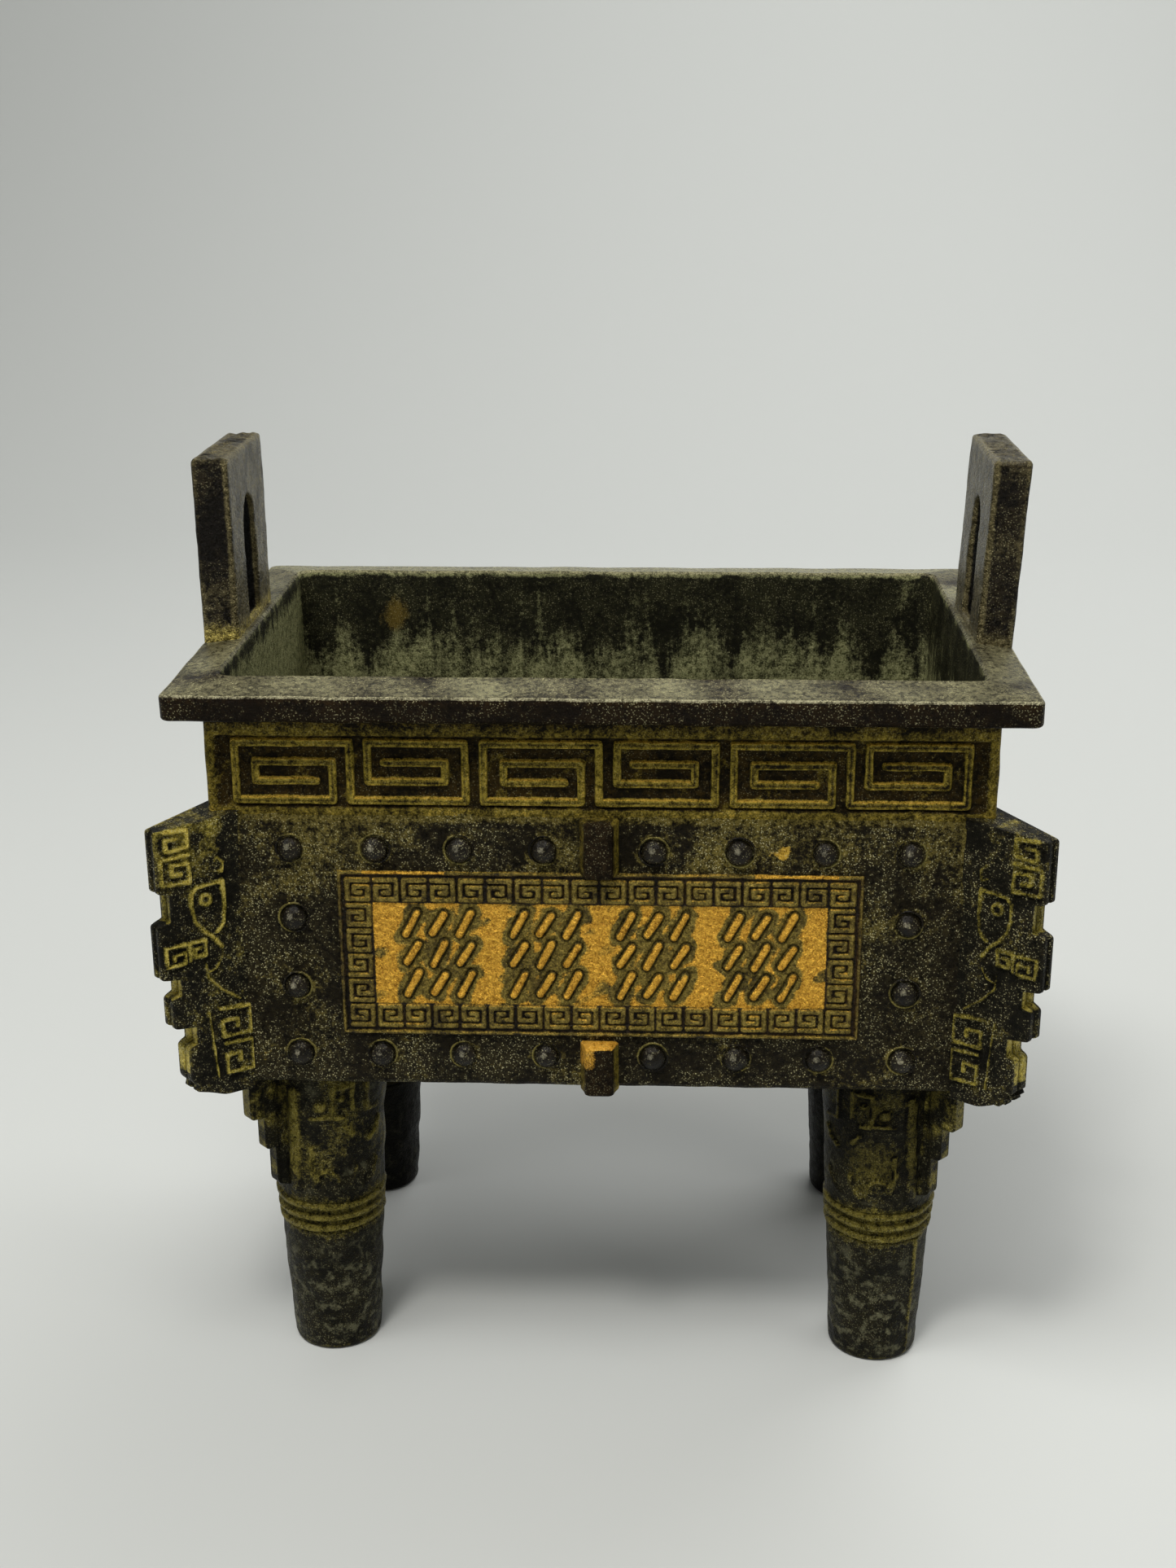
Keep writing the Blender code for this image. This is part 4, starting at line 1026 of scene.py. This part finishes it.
def leg(name, sx, sy, around, tall):
    """A post: its radius over angle and height, with angle 0 straight out of its long side.

    The marks of the mask are paths of an angle in degrees and a height in millimetres,
    laid on the post's skin as if it were unrolled at one radius.
    """
    z = np.concatenate([[0, 0.0001, 0.0003, 0.0006, 0.0010],
                        np.linspace(0.0015, rings_low, tall // 3, endpoint=False),
                        np.linspace(rings_low, rings_high, tall // 3, endpoint=False),
                        np.linspace(rings_high, belly_low + 0.0015, tall // 2)])[:, None]
    angle = np.linspace(-math.pi, math.pi, around, endpoint=False)[None, :]
    arc = angle * unrolled
    ring = sum(band(np.abs(z - level) + 0.00008 * wave(arc, z, 0.01, 5), 0.0011, 0.0004)
               for level in ring_levels)
    between = band(np.abs(z - ring_middle), 0.0066, 0.001) * (1 - ring)
    lift = 0.00045 * (ring - between)
    marks = [[(-21, 59.0), (-29, 37.5)], [(-6, 53.6), (8, 54.0), (27, 53.4)],
             [(15, 54.8), (15, 60.2), (34, 60.4), (35, 55.0)], [(27, 51.2), (34, 49.5)],
             [(68, 50.7), (63, 48.5), (53, 47.2)],
             [(-5, 39.0), (-3, 40.9), (7, 41.8), (16, 40.8), (18, 39.4)],
             [(37, 41.9), (35, 39.9), (30, 38.3), (23, 37.2)], [(65, 41.5), (58, 38.6), (49, 37.2)],
             [(-8, 47), (-10, 43), (-6, 39)], [(50, 60), (50, 54), (66, 53.5)]]
    mask = np.zeros(ring.shape)
    for number, path in enumerate(marks):
        metres = [(math.radians(a) * unrolled, (b + marks_start) / 1000) for a, b in path]
        width = 0.0022 if number == 0 else 0.0010
        mask = np.maximum(mask, band(away(arc, z, metres) + 0.0001 * wave(arc, z, 0.004, 3),
                                     width, 0.0006))
    eye = np.hypot(arc - math.radians(3) * unrolled, z - 0.0572)
    mask = np.maximum(mask, 1 - smooth(eye, 0.0008, 0.0016))
    dot = np.hypot(arc - math.radians(24) * unrolled, z - 0.0586)
    mask = np.maximum(mask, 1 - smooth(dot, 0.0004, 0.0010))
    lift += 0.00055 * mask * (1 if sy < 0 else 0.7)
    lift += 0.00012 * wave(arc, z, 0.012, 13 + sx) + 0.00005 * wave(arc, z, 0.003, 15 + sx)
    # the right legs have a casting seam on their lower parts
    seam = band(np.abs(arc + 0.0085), 0.0012, 0.0006) * (z < 0.028) * (sx > 0)
    lift += 0.0003 * seam
    radius = leg_radius(z) + lift * smooth(z, 0.0002, 0.002) - rounded_edge(z, 0.0010)
    rings = np.stack([sx * leg_x - sx * np.sin(angle) * radius,
                      sy * leg_y + sy * np.cos(angle) * radius,
                      np.broadcast_to(z, radius.shape)], axis=-1)
    worn = wave(arc, z, 0.013, 33 + sx)
    near_rings = 1 - smooth(np.abs(z - ring_middle), 0.003, 0.006)
    upper = smooth(z, 0.036, 0.046)
    mask_edge = smooth(mask, 0.1, 0.4) * (1 - smooth(mask, 0.5, 0.9))
    showing = 0.02 + 0.12 * smooth(z, 0.012, 0.026) + 0.34 * near_rings + 0.36 * ring
    showing = showing + upper * (0.17 + 0.42 * mask + 0.16 * worn)
    showing = showing + 0.55 * seam + 0.4 * (1 - smooth(z, 0.0005, 0.002))
    gilding = 0.08 * ring * (1 + worn) + 0.14 * mask * smooth(worn, -0.4, 0.8) + 0.12 * seam
    # dark between the rings and round the mask's marks; the back legs painted near black, as the
    # shade under the vessel, and the front right leg's upper part darker
    dirt_and_shade = 0.22 * between + 0.6 * mask_edge * upper + (0.72 if sy > 0 else 0.46 * (sx > 0) * upper)
    return skin(name, rings, tones=np.stack([showing, gilding, dirt_and_shade], axis=-1))


leg_colours = (paint(22, 21, 13), paint(42, 39, 24), (paint(88, 80, 30), paint(146, 134, 64)),
               yellow_gold)
leg_metal = patinated("leg_patina", *leg_colours, grain=1.1, speck=0.3, patchy=0.6)
post_metal = patinated("post_patina", *leg_colours, grain=1.1, speck=0.3, dust=0.6, patchy=0.6)
for (sx, sy), name in corner_names.items():
    dress(leg(name + "_leg", sx, sy, *((152, 162) if sy < 0 else (88, 102))), post_metal)


# A stepped flange runs down the outer corner of each leg, in line with the fin above it.
def leg_flange_outline():
    """The stepped edge by reach from the post's axis and height, from the top downwards."""
    level = belly_low + 0.0012
    points, radii = [(0.0, level)], []
    for reach, drop in ((0.0188, 0.0099), (0.0158, 0.0172), (0.0135, 0.0255)):
        bottom = belly_low - drop
        points += [(reach, level), (reach, bottom)]
        radii += [0.0003, 0.0012]
        level = bottom
    end = level - 0.0022
    points += [(leg_radius(level) - 0.0022, end), (0.0, end)]
    radii += [0.0004]
    return rounded_path(points, radii + [0.0004])


def leg_flange_relief(reach, z, face):
    """A plain face with a shallow upright groove, brass at its steps."""
    zero = np.zeros(np.shape(reach))
    worn = wave(reach * 2, z, 0.006, 43)
    groove = band(np.abs(reach - 0.0128), 0.001, 0.0006) * (0 if face == 0 else 1)
    height = zero - 0.0003 * groove + 0.00006 * worn
    high = smooth(z, 0.046, 0.062)
    on_edge = 0.36 if face == 0 else 0.0
    return height, np.stack([0.18 + on_edge + 0.24 * high + 0.16 * worn, 0.06 + 0.2 * high * worn,
                             0.6 * groove], axis=-1)


def leg_flange_thick(reach):
    """Half the flange's thickness, the same all over."""
    return 0.0016 + 0 * reach


for (sx, sy), name in corner_names.items():
    step, counts = (0.0005, (20, 5, 14)) if sy < 0 else (0.0008, (12, 3, 10))
    dress(plate(name + "_leg_flange", leg_flange_outline(), 0.001, leg_flange_thick, 0.0004,
                diagonal(sx, sy, leg_x, leg_y), leg_flange_relief, step, counts), leg_metal)


# The handles are thick upright plates on the ends of the rim, each with an arched slot.
# Their faces keep the leathery skin of the casting, and their feet are rubbed to brass.
handle_thick, handle_half, handle_tall = 0.0070, 0.0161, 0.0356


def outline_reach(points, centre, angles):
    """How far an outline lies from a centre in each direction, by following its points."""
    points = even_points(np.array(points), 0.00005) - np.array(centre)
    turn = np.arctan2(points[:, 1], points[:, 0])
    order = np.argsort(turn)
    return np.interp(angles, turn[order], np.hypot(*points[order].T), period=2 * math.pi)


def handle(name, side, lean):
    """A plate with a hole: a section from the slot to the edge, carried round the slot."""
    foot, top = rim_top - 0.0006, rim_top + handle_tall
    corner, back_corner = 0.0011, 0.0005
    outer = [(-handle_half, foot), (handle_half, foot)]
    outer += [(handle_half - back_corner * (1 - math.cos(t)), top - back_corner * (1 - math.sin(t)))
              for t in np.linspace(0, math.pi / 2, 9)]
    outer += [(-handle_half + corner - corner * math.sin(t), top - corner + corner * math.cos(t))
              for t in np.linspace(0, math.pi / 2, 9)]
    outer.append(outer[0])
    slot_half, sill = 0.00485, rim_top + 0.0022
    spring = top - 0.0096 - slot_half
    inner = [(-slot_half, sill), (slot_half, sill)]
    inner += [(slot_half * math.cos(t), spring + slot_half * math.sin(t))
              for t in np.linspace(0, math.pi, 25)]
    inner.append(inner[0])
    centre = (0.0, rim_top + 0.0150)
    angles = np.linspace(0, 2 * math.pi, 264, endpoint=False)
    for outline in (outer, inner):
        for point in outline:
            if abs(point[0]) > 0.004 and (point[1] < rim_top + 0.003 or point[1] > top - 0.003):
                exact = math.atan2(point[1] - centre[1], point[0]) % (2 * math.pi)
                angles[np.argmin(np.abs(angles - exact))] = exact
    near, far = outline_reach(inner, centre, angles), outline_reach(outer, centre, angles)
    k = np.linspace(0, 1, 22)
    k = 0.5 - 0.5 * np.cos(k * math.pi) * (0.6 + 0.4 * np.abs(np.cos(k * math.pi)))
    reach = near[:, None] + (far - near)[:, None] * k[None, :]
    a = centre[0] + reach * np.cos(angles)[:, None]
    z = centre[1] + reach * np.sin(angles)[:, None]
    rim = np.minimum(away(a, z, outer), away(a, z, inner))
    rim[:, 0] = rim[:, -1] = 0
    rounding = 0.0007
    fall = rounded_edge(rim, rounding)
    skin_deep = 0.00005 * wave(a, z, 0.012, 53 + side) + 0.00002 * wave(a, z, 0.0025, 54 + side)

    def place(a, z, inward):
        tilt = lean * (z - rim_top) / handle_tall
        return np.stack([side * (rim_length / 2 - 0.0002 + tilt - inward), a, z + 0 * a], axis=-1)

    outward_face = place(a, z, fall - skin_deep)
    inward_face = place(a, z, handle_thick - fall + skin_deep)
    share = np.linspace(0, 1, 9)[1:-1] * (handle_thick - 2 * rounding) + rounding
    rough_top = 0.00018 * wave(a[:, -1:] * 1.5, share[None, :], 0.004, 57 + side)
    edge_z = z[:, -1:] + rough_top * smooth(z[:, -1:], top - 0.003, top)
    outer_edge = place(np.broadcast_to(a[:, -1:], rough_top.shape), edge_z, share[None, :])
    slot_edge = place(np.broadcast_to(a[:, :1], rough_top.shape),
                      np.broadcast_to(z[:, :1], rough_top.shape), share[::-1][None, :])
    rings = np.concatenate([outward_face, outer_edge, inward_face[:, ::-1], slot_edge], axis=1)
    height = rings[..., 2]
    worn = wave(rings[..., 1] * 2, height, 0.009, 59 + side)
    foot_wear = 1 - smooth(height, rim_top + 0.001, rim_top + (0.0080 if side < 0 else 0.003))
    # the rounded edges of both faces are lighter: worn edges and a painted highlight
    edge_wear_and_highlight = np.concatenate([smooth(fall, 0.0001, 0.0004), np.ones(rough_top.shape) * 0.3,
                                smooth(fall, 0.0001, 0.0004)[:, ::-1], np.zeros(rough_top.shape)],
                               axis=1)
    showing = 0.14 + 0.4 * foot_wear + 0.10 * worn + 0.24 * smooth(height, top - 0.0014, top)
    # the inward face is painted lighter, a painted reflection of the pale room
    inward = np.zeros(height.shape)
    inward[:, outward_face.shape[1] + outer_edge.shape[1]:-slot_edge.shape[1]] = 1
    showing = showing + 0.28 * edge_wear_and_highlight + 0.40 * inward
    gilding = 0.50 * foot_wear * (side < 0)
    # the slot's walls are near black: painted shade, with dirt
    in_slot = np.zeros(height.shape)
    in_slot[:, -slot_edge.shape[1]:] = 0.9
    tones = np.stack([showing * (1 - in_slot), gilding * (1 - in_slot), in_slot], axis=-1)
    return skin(name, rings, loop=True, tones=tones, smooth_angle=45)


handle_metal = patinated("handle_patina", paint(19, 15, 9), paint(42, 35, 22),
                         (paint(88, 80, 54), paint(130, 120, 84)), yellow_gold, grain=1.1,
                         speck=0.35, leather=1.2, rough=0.30, gloss=0.12, patchy=0.36)
for name, side, lean in (("left_handle", -1, 0.0003), ("right_handle", 1, 0.0016)):
    dress(handle(name, side, lean), handle_metal)

low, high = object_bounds()
